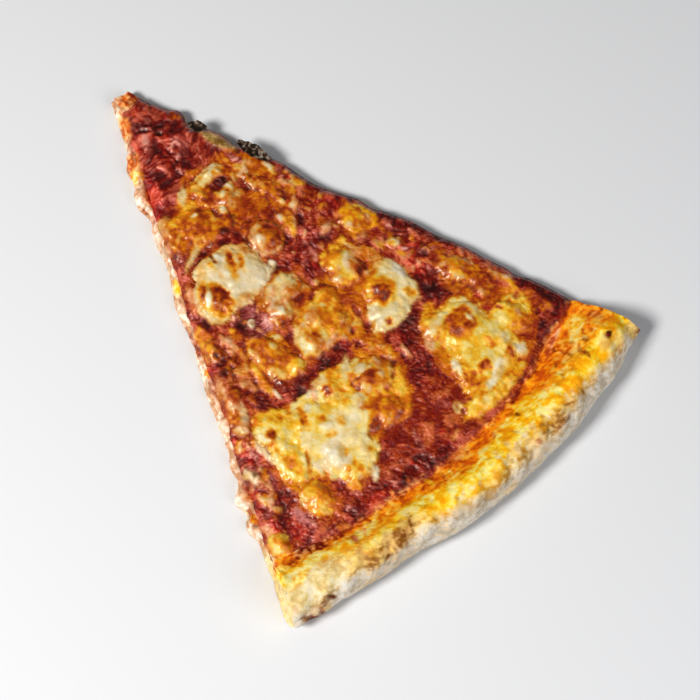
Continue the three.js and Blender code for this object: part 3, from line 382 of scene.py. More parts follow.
    ("lemon", 71.4, 13.4, 3.2, 4.4, 0, 1.0), ("sun", 73.2, 25, 2.2, 9, 5, 1.0),
    ("lemon", 73.4, 20, 1.2, 4, 5, 0.8), ("orange", 69, 19.6, 1.8, 1.8, 0, 0.8),
    ("sun", 54.4, 46.6, 5.6, 8.0, 0, 1.0), ("lemon", 53.4, 47.6, 4.2, 6.2, 0, 1.0),
    ("butter", 55, 40, 3.0, 2.0, 0, 0.9), ("film", 62.4, 46, 4.2, 4, 0, 1.0),
    ("orange", 60, 46, 3.4, 5, 0, 0.9), ("film", 58, 56, 7, 3, 15, 0.9),
    ("orange", 35.6, 26.4, 2, 3, 30, 0.9), ("dark", 66.4, 52, 2.4, 10, 25, 1.0),
    ("dark", 62, 60.4, 6, 1.6, 20, 0.8), ("crimson", 67, 57, 1.5, 1.3, 0, 0.8),
    ("dark", 38.4, 14.6, 5.6, 4.0, -35, 1.0), ("dark", 33, 22.4, 1.4, 4.6, 35, 1.0),
    ("crimson", 38, 12, 3, 1.6, 0, 0.6),
    # the wide patch, with painted white and pinkish highlights on its blisters
    ("film", 44, 2, 13, 6, -10, 1.0), ("honey", 41, 4, 8, 3, -15, 0.8), ("sauce", 52, 7, 5, 3, 0, 0.9),
    ("peach", 42, 10.4, 3, 0.8, -8, 0.9), ("honey", 47, -6, 13, 9, 0, 1.0),
    ("cream", 43, 2.4, 4.4, 0.9, -38, 0.9), ("butter", 48, -27, 17, 14, 0, 1.0),
    ("butter", 47, -38, 9, 6, 0, 1.0), ("honey", 37, -15, 7, 5, 0, 0.9),
    ("bone", 37.6, -5, 2.4, 3.4, -30, 0.9), ("ivory", 34, -9.4, 5.6, 1.4, -45, 1.0),
    ("ember", 42.6, -6, 3.8, 5, 10, 1.0), ("dark", 39.4, -7.4, 0.6, 3.4, 0, 0.8),
    ("peach", 43.2, -8.2, 1.9, 1.2, 0, 0.9), ("scorch", 42, -10.8, 2, 0.7, 0, 0.9),
    ("amber", 53.4, -7.4, 6, 6, 0, 1.0), ("ember", 55, -14, 5.4, 2.8, -30, 1.0),
    ("straw", 50, -4.6, 2.4, 5, 10, 0.8), ("peach", 47.5, -13.7, 2.2, 1.5, 0, 0.9),
    ("sauce", 56, -17, 2.6, 1.3, -40, 0.9), ("lemon", 40, -25, 5, 8, 0, 0.8),
    ("scorch", 36, -18.8, 3, 1.8, 0, 1.0), ("cream", 31.6, -18.6, 2.5, 3.2, 0, 0.9),
    ("peach", 33.6, -22.8, 3, 1.2, -25, 0.8), ("ivory", 49, -24, 8, 5, -20, 0.9),
    ("bone", 54, -31, 6, 5, 0, 1.0), ("orange", 46.4, -22, 2, 1.6, 0, 0.6),
    ("orange", 42, -34, 2, 1.2, 0, 0.6), ("milk", 54, -32.6, 3.6, 2.8, 0, 0.9),
    ("ivory", 59, -22.8, 4.4, 1.7, -22, 1.0), ("milk", 66.8, -25.2, 2.8, 1.4, -40, 1.0),
    ("orange", 61.6, -28, 2.8, 2, 0, 0.9), ("honey", 65, -33, 4, 2.4, 0, 1.0),
    ("ember", 38, -31, 4, 1.3, -25, 1.0), ("orange", 42.5, -26.6, 2.4, 1.9, 0, 0.9),
    ("lemon", 38, -36.6, 10, 4.4, 0, 1.0), ("ivory", 44, -35, 5, 2.4, -30, 0.8),
    ("straw", 47, -43, 6, 2.6, -20, 0.8), ("bone", 55, -37.4, 4, 2.2, 0, 0.9),
    ("scorch", 49, -38.7, 2.2, 0.7, -35, 0.9), ("scorch", 35.8, -43.2, 3.6, 1.8, -25, 1.0),
    ("milk", 34.6, -45.2, 3, 0.9, 25, 0.9), ("lemon", 30, -41, 3.6, 3.6, 0, 0.8),
    ("bone", 38, -48, 6, 1.3, 5, 0.9), ("ember", 46, -44.6, 3, 1.5, 0, 0.8),
    ("straw", 51, -48, 5, 2, 0, 0.9), ("plum", 62, -35.4, 1.8, 1.1, 0, 0.9),
    ("ember", 60, -40, 5.4, 1.5, -30, 0.9), ("honey", 60.6, -45, 7, 4.2, 0, 1.0),
    ("orange", 61.4, -45, 1.6, 1.2, 0, 0.8),
    # the sauce along the rim and the lower cut
    ("dark", 75, -13, 4.6, 5.6, 0, 0.9), ("dark", 73, -22, 4.6, 4.6, 0, 0.9),
    ("dark", 77, -40, 2, 10, 3, 0.8), ("dark", 76, -56, 4, 6, 3, 0.7), ("rose", 68, -7.6, 4, 1.2, -20, 0.7),
    ("crimson", 74, -30, 2.2, 7, 0, 0.6), ("dark", 72, -38, 5, 2.6, 10, 0.9),
    ("ember", 78, -33, 1.2, 9, 3, 0.6), ("tan", 74.6, -44.4, 3.6, 1.8, 20, 1.0),
    ("peach", 75, -50, 0.7, 4, -6, 0.9), ("peach", 77, -49.6, 0.7, 4, -6, 0.9),
    ("dark", 76, -50, 0.5, 3.4, -6, 0.8), ("dark", 71.4, -48, 0.7, 4, 0, 0.8),
    ("dark", 71, -57.4, 2.8, 3.6, 0, 1.0), ("rim_orange", 69.6, -66.4, 2.2, 5, 0, 1.0),
    ("crimson", 64, -57, 5, 2.6, 0, 0.6), ("plum", 63, -52.6, 5, 2, 0, 0.8),
    ("rose", 65, -50.6, 3, 0.9, -15, 0.7), ("dark", 60, -57, 4, 2.4, 0, 0.6),
    ("orange", 66, -63, 4, 2, 0, 0.9), ("dark", 39, -51.6, 5, 2, -12, 1.0),
    ("plum", 47, -52.6, 4, 1.6, -25, 0.8), ("bone", 41, -56, 4, 1.6, 0, 0.9),
    ("peach", 48.6, -54.6, 3.6, 1.2, -30, 0.8), ("crimson", 48, -59.6, 4, 1.5, -15, 0.8),
    ("crimson", 58, -61, 5, 1.8, -18, 0.8), ("peach", 52.6, -57.6, 3, 1.1, -20, 0.8),
    ("orange", 31, -52.6, 3, 1.8, -20, 0.9), ("peach", 12, -45, 6, 1.8, -22, 0.9),
    ("ember", 15, -46.6, 2.6, 1.0, -20, 0.7), ("amber", 24, -48.2, 5, 1.8, -22, 1.0),
    ("bone", 23.4, -44.4, 3.6, 1.3, -25, 0.8), ("peach", 44, -62, 5, 2, -20, 0.8),
]
# Where small bits lie scattered: X, Y, half length, half width, turn, how many, their size, and of what.
BITS = [
    (-30, 19, 16, 6, 20, 60, 1.2, "peach orange cream rose crimson film ember"),
    (0, 29, 12, 6, 20, 24, 1.2, "peach orange film rose"),
    (18, 36, 12, 6, 15, 34, 1.1, "rose peach orange crimson dark"),
    (42, 46, 17, 8, 15, 50, 1.3, "orange peach crimson ember straw film dark"),
    (-6, 8, 10, 8, -30, 22, 1.0, "rose plum peach crimson"),
    (-42, 9, 12, 6, 12, 16, 1.3, "cream orange ember film gold"),
    (-39, -16, 8, 12, 0, 16, 1.5, "gold ember orange tan"),
    (10, -37, 15, 5, -15, 44, 1.2, "peach ember orange dark tan"),
    (45, -56, 23, 4, -20, 56, 1.2, "peach crimson dark rose orange cream"),
    (69, -6, 7, 22, 5, 40, 1.0, "rose crimson dark rust sauce"),
    (32, 3, 15, 5, -10, 34, 1.3, "gold peach orange cream dark"),
    (-76, 0, 14, 5, 0, 30, 1.1, "rose dark crimson"), (0, -20, 7, 8, 0, 22, 1.1, "rose plum dark peach"),
    (57, 31, 14, 14, 0, 9, 1.4, "orange honey straw"),
    (48, -28, 17, 15, 0, 26, 2.0, "ivory lemon honey orange milk"),
    (16, -5, 9, 9, 0, 22, 1.6, "orange ivory honey peach"), (0, -8, 6, 9, 0, 8, 1.6, "tan ivory peach"),
    (15, -25, 10, 7, 0, 18, 1.6, "orange straw ember cream olive"),
    (46, -6, 11, 8, 0, 20, 1.6, "orange peach ember straw cream"),
    (60, -45, 7, 5, 0, 8, 1.6, "orange ember straw cream"),
    (6, 17, 9, 7, -20, 12, 1.6, "orange lemon peach ember"),
    (36, -41, 9, 6, 0, 10, 1.6, "orange ivory straw"), (-15, -16, 9, 12, 0, 6, 1.6, "ivory tan honey milk"),
    (73, -30, 6, 20, 5, 24, 1.1, "dark rose crimson rust"),
]
# Paint and bits on the dough and its rim, in the same units.
CRUST_PAINT = [
    # the tip and the lower cut
    ("toasted", -94, -1, 1.5, 1.2, 0, 0.8), ("toasted", -92.6, -4, 1.6, 1.2, 0, 0.8),
    ("ember", -89, 3, 5, 1.6, 22, 0.9), ("bark", -80, 6, 8, 1.8, 14, 0.9),
    ("toasted", -85, -9, 6, 1.8, -24, 0.9), ("crimson", -76, -12.6, 4, 1.3, -28, 0.6),
    ("toasted", -72, -16, 4, 1.6, -30, 0.9), ("rim_yellow", -67.6, -18, 3, 2, -30, 0.7),
    ("ember", -55, -23, 1.6, 1.2, 0, 0.9), ("rose", -34, -27, 6, 1.4, -25, 0.5),
    ("rim_yellow", -26, -33.4, 3.4, 1.5, -25, 1.0), ("rose", -50, -22.6, 2, 2, 0, 0.6),
    ("ember", -17, -35, 3, 1.0, -20, 0.7), ("orange", -4, -40.4, 7, 2, -20, 0.9),
    ("crimson", -3.4, -42.4, 3, 1.0, -20, 0.8), ("rose", -8, -41.6, 4, 1.2, -20, 0.6),
    ("rim_orange", 5, -44.6, 2, 2.2, 0, 0.9), ("ember", 15.4, -47, 3, 1.2, -20, 0.8),
    ("rose", 10, -47, 4, 1.4, -22, 0.5), ("amber", 25, -49.6, 4.4, 1.6, -25, 1.0),
    ("orange", 34, -54, 4, 1.6, -25, 0.6), ("ember", 37, -57, 2, 1.0, -20, 0.7),
    ("rose", 43, -60.6, 3, 1.0, -20, 0.6), ("amber", 52.4, -65.6, 3.2, 1.4, -15, 1.0),
    ("crimson", 48, -61, 4, 1.2, -15, 0.7), ("peach", 60, -64.6, 5, 1.6, -10, 0.8),
    ("rim_orange", 69.6, -67, 1.8, 5, 0, 0.8), ("rim_yellow", 73, -70, 3, 2.6, 0, 1.0),
    # the rim
    ("rim_orange", 76, 50, 6, 17, 18, 0.6), ("rim_yellow", 79.5, 52, 2.2, 9, 16, 0.5),
    ("rim_yellow", 72.6, 60, 2.4, 4, 20, 0.7), ("straw", 82.6, 62.5, 2.4, 5.5, 18, 0.7),
    ("stained", 74.6, 66, 2.4, 1.6, 20, 0.7), ("rim_yellow", 79.6, 62, 3, 4, 10, 0.4),
    ("stained", 71.4, 44, 1.6, 6, 18, 0.6), ("rose", 72, 50, 0.8, 5.6, 24, 0.6),
    ("stained", 76, 50, 3, 6, 20, 0.3), ("rim_yellow", 75, 55.4, 1.6, 3, 20, 0.5),
    ("rim_yellow", 84, 32, 4, 14, 6, 0.7), ("rim_orange", 81, 36, 2, 3, 0, 0.8),
    ("rim_orange", 80, 15, 1.4, 9, 0, 0.6), ("rim_orange", 81, -4, 1.8, 8, 0, 0.6),
    ("peach", 80.6, -2, 1.8, 4, 0, 0.6), ("rim_orange", 80.4, -30, 1.4, 14, 3, 0.6),
    ("rim_yellow", 79.6, -46, 1.8, 14, 5, 0.6), ("rim_yellow", 76.0, -65, 2.0, 8, 10, 0.8),
    ("rim_pale", 83, -62, 4.4, 12, 6, 0.8), ("scorch", 78, 57, 1.0, 1.0, 0, 0.8),
    ("scorch", 79.4, 53, 0.8, 0.8, 0, 0.8), ("scorch", 78.6, 43.4, 0.7, 0.6, 0, 0.8),
    ("scorch", 82.6, 22.4, 0.7, 0.8, 0, 0.9), ("scorch", 79, 24.4, 0.6, 0.6, 0, 0.8),
    ("scorch", 74.6, 47, 0.7, 0.7, 0, 0.7), ("dark", 81.5, 63.2, 1.0, 1.5, 0, 1.0),
    ("rim_gold", 86, 71.6, 3, 3.2, 20, 0.9), ("rim_brown", 87.6, 74.4, 2.0, 2.4, 20, 0.9),
    ("dark", 88.7, 74.6, 1.5, 2.2, 0, 1.0), ("rim_brown", 87.4, -37, 3.0, 12, 4, 0.7),
    ("rim_brown", 88, -67, 2.6, 7, 8, 0.6), ("bark", 87, -31, 2.0, 3.2, 0, 0.6),
    ("bark", 88.4, -38.4, 1.5, 2.4, 20, 0.6), ("rim_brown", 93, 28, 2.0, 6, 8, 0.9),
    ("scorch", 92.8, 27, 1.2, 2.0, 0, 0.8), ("scorch", 93.6, 32.6, 1.0, 1.8, 0, 0.7),
    ("rim_brown", 91, 12, 1.5, 4, 0, 0.5),
]

CRUST_BITS = [
    (87, -37, 3.0, 13, 4, 44, 1.1, "rim_brown rim_gold rim_brown"),
    (88, -67, 2.4, 8, 8, 16, 1.1, "rim_brown bark"), (93, 28, 1.8, 7, 8, 12, 1.1, "rim_brown bark"),
    (91, 26, 3.4, 20, 6, 60, 1.0, "rim_gold rim_brown rim_pale"),
    (79, 52, 4, 12, 12, 20, 0.7, "stained scorch rim_yellow"),
    (89, 5, 2.4, 40, 3, 26, 0.9, "rim_brown rim_gold rim_pale"),
    (81, 10, 2.0, 34, 2, 24, 0.8, "stained rim_orange rim_yellow"),
    (77, -20, 1.4, 34, 4, 14, 0.9, "stained crimson toasted"),
]

# ---------------------------------------------------------------- small helpers


def smooth(value, low, high):
    share = np.clip((value - low) / (high - low), 0.0, 1.0)
    return share * share * (3.0 - 2.0 * share)


def blend(low, high, share):
    return low + (high - low) * share


def bump(distance):
    """One at zero, smoothly down to nothing at one."""
    return np.where(distance < 1.0, (1.0 - distance * distance) ** 2, 0.0)


def linear(tone):
    """An sRGB tone as linear red, green and blue."""
    parts = np.array([(tone >> 16) & 255, (tone >> 8) & 255, tone & 255]) / 255.0
    return np.where(parts <= 0.04045, parts / 12.92, ((parts + 0.055) / 1.055) ** 2.4)


DARKEST = 0.0015


def toned(tones, lit, sheen):
    """The surface colours that look like these tones under light of strength lit, less their sheen."""
    seen = np.array([linear(int(tone, 16)) for tone in tones.split()])
    return np.maximum(seen - sheen, DARKEST) / lit


RAMP_TONES = {name: toned(ramp[0], lit=0.94, sheen=0.012) for name, ramp in RAMPS.items()}
RAMP_STOPS = (0.08, 0.28, 0.5, 0.72, 0.92)
BROWNED_TONES = np.stack([toned(tones, lit=1.1, sheen=0.02) for tones in BROWNING])


def ramped(name, shade):
    """A food's colour where shade runs from 0, its darkest tone, to 1, its lightest."""
    tones = RAMP_TONES[name]
    return np.stack([np.interp(shade, RAMP_STOPS, tones[:, i]) for i in range(3)], axis=-1)


def browned(browning, hue):
    """Cheese's colour from how browned it is and its hue, as in CHEESES."""
    stops = np.linspace(0, 1, BROWNED_TONES.shape[1])
    by_hue = [
        np.stack([np.interp(browning, stops, tones[:, i]) for i in range(3)], axis=-1)
        for tones in BROWNED_TONES
    ]
    hue = hue[..., None]
    return blend(blend(by_hue[0], by_hue[1], np.clip(hue, 0, 1)), by_hue[2], np.clip(hue - 1, 0, 1))


# A logistic curve this steep comes nearest to the normal one.
STEEP = 1.7


def evenly(value, spread):
    """Turns noise of the given spread into values that lie evenly between 0 and 1."""
    return 1.0 / (1.0 + np.exp(-STEEP * value / spread))


# ---------------------------------------------------------------- seeded noise

# Each octave is this much finer and fainter than the one before; all are raised by the contrast.
FINER = 2.03
FAINTER = 0.55
CONTRAST = 1.4
OCTAVE_SEEDS = 17
# How far a cell's point may lie from the middle of its square, and how finely it is drawn.
SCATTER = 0.8
DRAWS = 1023


def hashed(ix, iy, iz, seed):
    """A random whole number for each corner of a lattice."""
    with np.errstate(over="ignore"):
        h = ix.astype(np.uint32) * np.uint32(0x8DA6B343)
        h = h ^ (iy.astype(np.uint32) * np.uint32(0xD8163841))
        h = h ^ (iz.astype(np.uint32) * np.uint32(0xCB1AB31F))
        h = h ^ np.uint32((seed * 0x9E3779B1) & 0xFFFFFFFF)
        h = (h ^ (h >> np.uint32(16))) * np.uint32(0x7FEB352D)
        h = (h ^ (h >> np.uint32(15))) * np.uint32(0x846CA68B)
        return h ^ (h >> np.uint32(16))


def noise(x, y, z, seed):
    """Gradient noise, about -1 to 1."""
    x, y, z = np.broadcast_arrays(x, y, z)
    ix, iy, iz = (np.floor(v).astype(np.int64) for v in (x, y, z))
    fx, fy, fz = x - ix, y - iy, z - iz
    wx, wy, wz = (f * f * f * (f * (f * 6 - 15) + 10) for f in (fx, fy, fz))
    total = np.zeros(x.shape)
    for cx in (0, 1):
        for cy in (0, 1):
            for cz in (0, 1):
                h = hashed(ix + cx, iy + cy, iz + cz, seed)
                dot = ((h & 255) / 127.5 - 1) * (fx - cx)
                dot += (((h >> 8) & 255) / 127.5 - 1) * (fy - cy)
                dot += (((h >> 16) & 255) / 127.5 - 1) * (fz - cz)
                weight = (wx if cx else 1 - wx) * (wy if cy else 1 - wy) * (wz if cz else 1 - wz)
                total += dot * weight
    return total * 1.5


def fbm(x, y, z, size, octaves, seed):
    """Noise of several sizes; size is the largest, in mm."""
    total, share, most = 0.0, 1.0, 0.0
    for octave in range(octaves):
        scale = FINER ** octave / size
        total = total + share * noise(x * scale, y * scale, z * scale, seed + OCTAVE_SEEDS * octave)
        most += share
        share *= FAINTER
    return total / most * CONTRAST


def cells(x, y, size, seed):
    """Distances to the two nearest scattered points, in cell sizes, and the nearest one's number."""
    gx, gy = x / size, y / size
    ix, iy = np.floor(gx).astype(np.int64), np.floor(gy).astype(np.int64)
    first, second = np.full(gx.shape, 9.0), np.full(gx.shape, 9.0)
    own = np.zeros(gx.shape)
    for cx in (-1, 0, 1):
        for cy in (-1, 0, 1):
            h = hashed(ix + cx, iy + cy, np.zeros_like(ix), seed)
            px = ix + cx + 0.5 + SCATTER * ((h & DRAWS) / DRAWS - 0.5)
            py = iy + cy + 0.5 + SCATTER * (((h >> 10) & DRAWS) / DRAWS - 0.5)
            d = np.hypot(gx - px, gy - py)
            nearer = d < first
            second = np.where(nearer, first, np.minimum(second, d))
            own = np.where(nearer, ((h >> 20) & DRAWS) / DRAWS, own)
            first = np.where(nearer, d, first)
    return first, second, own


def softened(field, reach):
    """The field averaged over a square of 2 * reach + 1 grid points."""
    out = field
    for axis in (0, 1):
        pad = [(reach + 1, reach) if axis == a else (0, 0) for a in (0, 1)]
        total = np.cumsum(np.pad(out, pad, mode="edge"), axis=axis)
        span = 2 * reach + 1
        ahead = [slice(None), slice(None)]
        behind = [slice(None), slice(None)]
        ahead[axis] = slice(span, None)
        behind[axis] = slice(None, -span)
        out = (total[tuple(ahead)] - total[tuple(behind)]) / span
    return out


# ---------------------------------------------------------------- the slice's outline


def bearing_of(x, y):
    return np.degrees(np.arctan2(y, x))


def lower_edge(x, y):
    """Distance inside the lower cut's straight line."""
    return y * math.cos(LOWER_CUT) - x * math.sin(LOWER_CUT)


def upper_edge(x, y):
    """Distance inside the upper cut."""
    return x * math.sin(UPPER_CUT) - y * math.cos(UPPER_CUT) + swell_along(UPPER_SWELLS, np.hypot(x, y))


def swell_along(swells, along):
    return sum(out * bump(np.abs(along - at) / spread) for at, out, spread in swells)


def swell_at(swells, bearing, column):
    return sum(row[column] * bump(np.abs(bearing - row[0]) / row[-1]) for row in swells)


def slant(most, lean, height):
    bulge = SIDE_BULGE * bump(np.abs(height - BASE_MIDDLE) / BASE_MIDDLE)
    return most * smooth(height, 0.0, BASE_TOP) + lean * np.maximum(height - BASE_TOP, 0.0) - bulge


def lower_plain(along):
    return blend(LOWER_OUT[0], LOWER_OUT[1], along / RADIUS)


def lower_out(along, height):
    return lower_plain(along) + swell_along(LOWER_SWELLS, along) - slant(LOWER_SLANT, LOWER_LEAN, height)


def upper_out(along, height):
    return swell_along(UPPER_SWELLS, along) - slant(UPPER_SLANT, UPPER_LEAN, height)


def dough_point(radius, share, height):
    """A point of the dough: share is 0 on the lower cut and 1 on the upper one."""
    angle = blend(LOWER_CUT, UPPER_CUT, share)
    near_rim = smooth(radius, EDGES_PART, RIM_FOOT)
    lower = lower_out(radius, height) * blend(1 - share, bump(share / END_REACH), near_rim)
    upper = upper_out(radius, height) * blend(share, bump((1 - share) / END_REACH), near_rim)
    x = radius * np.cos(angle) + lower * math.sin(LOWER_CUT) - upper * math.sin(UPPER_CUT)
    y = radius * np.sin(angle) - lower * math.cos(LOWER_CUT) + upper * math.cos(UPPER_CUT)
    return x, y


def inside_sauce(x, y):
    """Distance inside the solid sauce's outline."""
    radius = np.hypot(x, y)
    lower = lower_edge(x, y) + lower_plain(radius) - SAUCE_LOWER_INSET
    upper = upper_edge(x, y) - SAUCE_UPPER_INSET
    outer = SAUCE_RADIUS + swell_at(SAUCE_SWELLS, bearing_of(x, y), 1) - radius
    rag = SAUCE_RAG * np.sin(SAUCE_RAG_TURNS[0] * x) * np.sin(SAUCE_RAG_TURNS[1] * y)
    return rag + np.minimum(np.minimum(lower, upper), np.minimum(outer, x - SAUCE_TIP))


def sauce_top(x, y):
    """The sauce's plain top, with its crumbs and without its pulp."""
    lumps = 0.0
    for along_x, along_y, bend, bend_turns, share in TOMATO_WAVES:
        lumps = lumps + share * np.sin(along_x * x + along_y * y + bend * np.sin(bend_turns * (x + y)))
    lumps = lumps / sum(wave[-1] for wave in TOMATO_WAVES)
    full = smooth(inside_sauce(x, y), 0.0, SAUCE_TAPER)
    body = blend(SAUCE_EDGE, SAUCE_THICK + SAUCE_LUMP * lumps, full)
    for crumb_x, crumb_y, radius, tall in CRUMBS:
        body = body + tall * bump(np.hypot(x - crumb_x, y - crumb_y) / (radius * DOME_REACH))
    return BASE_TOP + GAP + body


def inside_ellipse(x, y, ellipse):
    """Distance inside an ellipse, near enough; the ellipse is X, Y, half length, half width, turn."""
    middle_x, middle_y, half_length, half_width, turn = ellipse
    angle = math.radians(turn)
    dx, dy = x - middle_x, y - middle_y
    along = (dx * math.cos(angle) + dy * math.sin(angle)) / half_length
    across = (dy * math.cos(angle) - dx * math.sin(angle)) / half_width
    return (1 - np.hypot(along, across)) * min(half_length, half_width)


# ---------------------------------------------------------------- paint

# How far the paint wanders and frays in mm, and the noise it does that by: size in mm, octaves.
WANDER, WANDER_GRAIN = 0.8, (4.0, 3)
FRAY, FRAY_GRAIN = 0.7, (2.0, 3)
# Browning, hue, pulp and height that a cheese starts from where there is none below.
BARE = (0.6, 1.5, 1.0, 0.0)
# How much cheese browns where it thins out over other food.
THIN_BROWNING = 0.25
# The noise of all paint on the toppings and on the crust starts from these seeds.
TOPPING_SEED = 221
CRUST_SEED = 111


def scattered(bits, seed):
    """Spots of paint for the small bits, for painted to lay on."""
    chance = random.Random(seed)
    spots = []
    for middle_x, middle_y, length, width, turn, count, size, foods in bits:
        angle = math.radians(turn)
        for _ in range(count):
            bearing = chance.uniform(0, 2 * math.pi)
            far = math.sqrt(chance.random())
            along = length * far * math.cos(bearing)
            across = width * far * math.sin(bearing)
            x = middle_x + along * math.cos(angle) - across * math.sin(angle)
            y = middle_y + along * math.sin(angle) + across * math.cos(angle)
            long = size * chance.uniform(0.6, 1.5)
            wide = long * chance.uniform(0.4, 0.8)
            food = chance.choice(foods.split())
            spots.append((food, x, y, long, wide, chance.uniform(-60, 60), chance.uniform(0.4, 0.9)))
    return spots


def painted(x, y, shade, spots, seed, colour, cheese, thin=0.0):
    """Lays the spots of food one over another with ragged edges.

    colour is what lies below them and cheese, if there is any below, its place in CHEESES; thin is
    how much more it browns where it thins out. Gives the colour, how pulpy the surface is, and how
    far it stands up.
    """
    colour = colour.copy()
    start = CHEESES[cheese] if cheese else BARE
    share = np.full(x.shape, 1.0 if cheese else 0.0)
    browning, hue, pulpy, raised = (np.full(x.shape, value) for value in start)
    warp_x = x - MIDDLE + WANDER * fbm(x, y, 0.0, *WANDER_GRAIN, seed)
    warp_y = y + WANDER * fbm(x, y, 0.0, *WANDER_GRAIN, seed + 5)
    fray = fbm(x, y, 0.0, *FRAY_GRAIN, seed + 9)
    for food, middle_x, middle_y, length, width, turn, strength in spots:
        reach = max(length, width) + 1.5
        near = (np.abs(warp_x - middle_x) < reach) & (np.abs(warp_y - middle_y) < reach)
        if not near.any():
            continue
        angle = math.radians(turn)
        dx, dy = warp_x[near] - middle_x, warp_y[near] - middle_y
        along = (dx * math.cos(angle) + dy * math.sin(angle)) / length
        across = (dy * math.cos(angle) - dx * math.sin(angle)) / width
        size = min(length, width)
        depth = (1.0 - np.hypot(along, across)) * size + min(FRAY, 0.3 * size) * fray[near]
        mask = strength * smooth(depth, -0.45, min(0.9, 0.5 * size))
        if food in CHEESES:
            level, tint, pulp, up = CHEESES[food]
            spread = strength * smooth(depth, -0.6, min(1.4, 0.6 * size))
            taken = spread / np.maximum(spread + share[near] * (1 - spread), 0.001)
            browning[near] = blend(browning[near], level, taken)
            hue[near] = blend(hue[near], tint, taken)
            share[near] = blend(share[near], 1.0, mask)
        else:
            _, pulp, up = RAMPS[food]
            colour[near] = blend(colour[near], ramped(food, shade[near]), mask[:, None])
            share[near] = share[near] * (1 - mask)
        pulpy[near] = blend(pulpy[near], pulp, mask)
        raised[near] = blend(raised[near], up, mask)
    uneven = 0.04 + 0.13 * smooth(browning, 0.05, 0.5)
    browning = browning + uneven * (1 - 2 * shade) + THIN_BROWNING * (1 - share) + thin
    melted = browned(np.clip(browning, 0.0, 1.0), hue)
    return blend(colour, melted, share[..., None]), pulpy, raised


SPOTS = TOPPING_PAINT + scattered(BITS, 29)
CRUST_SPOTS = CRUST_PAINT + scattered(CRUST_BITS, 31)


def tinted(colour, food, mask, shade=0.5):
    """The colour with a food's own laid over it by the mask."""
    mask = np.clip(mask, 0.0, 1.0)[..., None]
    return colour * (1 - mask) + ramped(food, np.broadcast_to(shade, mask.shape[:-1])) * mask


# ---------------------------------------------------------------- meshes


def as_mesh(name, points, faces, colour, wet):
    """A mesh object from points in plan mm and lists of corners, with tone and wetness on its points."""
    shifted = (points + np.array([ROW_SHIFT[0], ROW_SHIFT[1], 0.0])) * MM
    mesh = bpy.data.meshes.new(name)
    mesh.from_pydata(shifted.tolist(), [], faces)
    rgba = np.ones((len(points), 4))
    rgba[:, :3] = np.clip(colour, 0.0, 1.0)
    tone = mesh.attributes.new("tone", "FLOAT_COLOR", "POINT")
    tone.data.foreach_set("color", rgba.ravel())
    moist = mesh.attributes.new("wet", "FLOAT", "POINT")
    moist.data.foreach_set("value", np.clip(wet, 0.0, 1.0).ravel())
    mesh.polygons.foreach_set("use_smooth", np.ones(len(mesh.polygons), dtype=bool))
    mesh.update()
    piece = bpy.data.objects.new(name, mesh)
    bpy.context.scene.collection.objects.link(piece)
    return piece


def placed(piece, node, material):
    piece.data.materials.append(material)
    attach(piece, "root")
    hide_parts(node)


# An edge point moves as if the squared slope were at least this, and by so many steps at most.
FLATTEST = 0.25
EDGE_REACH = 1.3


def trimmed_grid(field, box, step):
    """A grid over the box, kept where the field is above nothing; its outer points lie on the edge.

    Gives the points' X and Y, the kept cells as a mask, and the distance inside at each point.
    """
    xs = np.arange(box[0], box[1] + step, step)
    ys = np.arange(box[2], box[3] + step, step)
    x, y = np.meshgrid(xs, ys, indexing="ij")
    depth = field(x, y)
    inside = depth > 0
    cell = inside[:-1, :-1] | inside[1:, :-1] | inside[:-1, 1:] | inside[1:, 1:]
    slope_x, slope_y = np.gradient(depth, step)
    steep = np.maximum(slope_x ** 2 + slope_y ** 2, FLATTEST)
    reach = EDGE_REACH * step
    move_x = np.clip(-depth * slope_x / steep, -reach, reach)
    move_y = np.clip(-depth * slope_y / steep, -reach, reach)
    x = np.where(inside, x, x + move_x)
    y = np.where(inside, y, y + move_y)
    return x, y, cell, np.maximum(depth, 0.0)


def sheet_faces(cell):
    """Quads of the kept cells, and which grid points they use."""
    used = np.zeros((cell.shape[0] + 1, cell.shape[1] + 1), dtype=bool)
    used[:-1, :-1] |= cell
    used[1:, :-1] |= cell
    used[:-1, 1:] |= cell
    used[1:, 1:] |= cell
    number = np.full(used.shape, -1)
    number[used] = np.arange(used.sum())
    a, b = number[:-1, :-1][cell], number[1:, :-1][cell]
    c, d = number[1:, 1:][cell], number[:-1, 1:][cell]
    return np.stack([a, b, c, d], axis=1), used


def edge_pairs(faces):
    """The edges that only one face has, in that face's direction."""
    edges = np.concatenate([faces[:, [i, (i + 1) % 4]] for i in range(4)])
    key = edges.min(axis=1) * (edges.max() + 1) + edges.max(axis=1)
    _, where, count = np.unique(key, return_index=True, return_counts=True)
    return edges[where[count == 1]]


def layer_piece(name, grid, top, under, colour, wet, closed):
    """A layer of food: its top sheet, a wall round its edge, and an underside where closed."""
    x, y, cell = grid
    faces, used = sheet_faces(cell)
    top_points = np.stack([x[used], y[used], top[used]], axis=1)
    low_points = np.stack([x[used], y[used], under[used]], axis=1)
    count = len(top_points)
    rim = edge_pairs(faces)
    ring = np.arange(count) if closed else np.unique(rim)
    lower = np.zeros(count, dtype=int)
    lower[ring] = np.arange(len(ring)) + count
    sheets = [faces, np.stack([rim[:, 1], rim[:, 0], lower[rim[:, 0]], lower[rim[:, 1]]], axis=1)]
    if closed:
        sheets.append(faces[:, ::-1] + count)
    points = np.concatenate([top_points, low_points[ring]])
    tones, moist = colour[used], wet[used]
    tones, moist = np.concatenate([tones, tones[ring]]), np.concatenate([moist, moist[ring]])
    return as_mesh(name, points, np.concatenate(sheets).tolist(), tones, moist)


# ---------------------------------------------------------------- materials

# Scale of the mottling, how far the roughness swings about its level, and the oil's roughness.
MOTTLE_SCALE = 420.0
ROUGH_SWING = 0.15
COAT_ROUGHNESS = 0.15


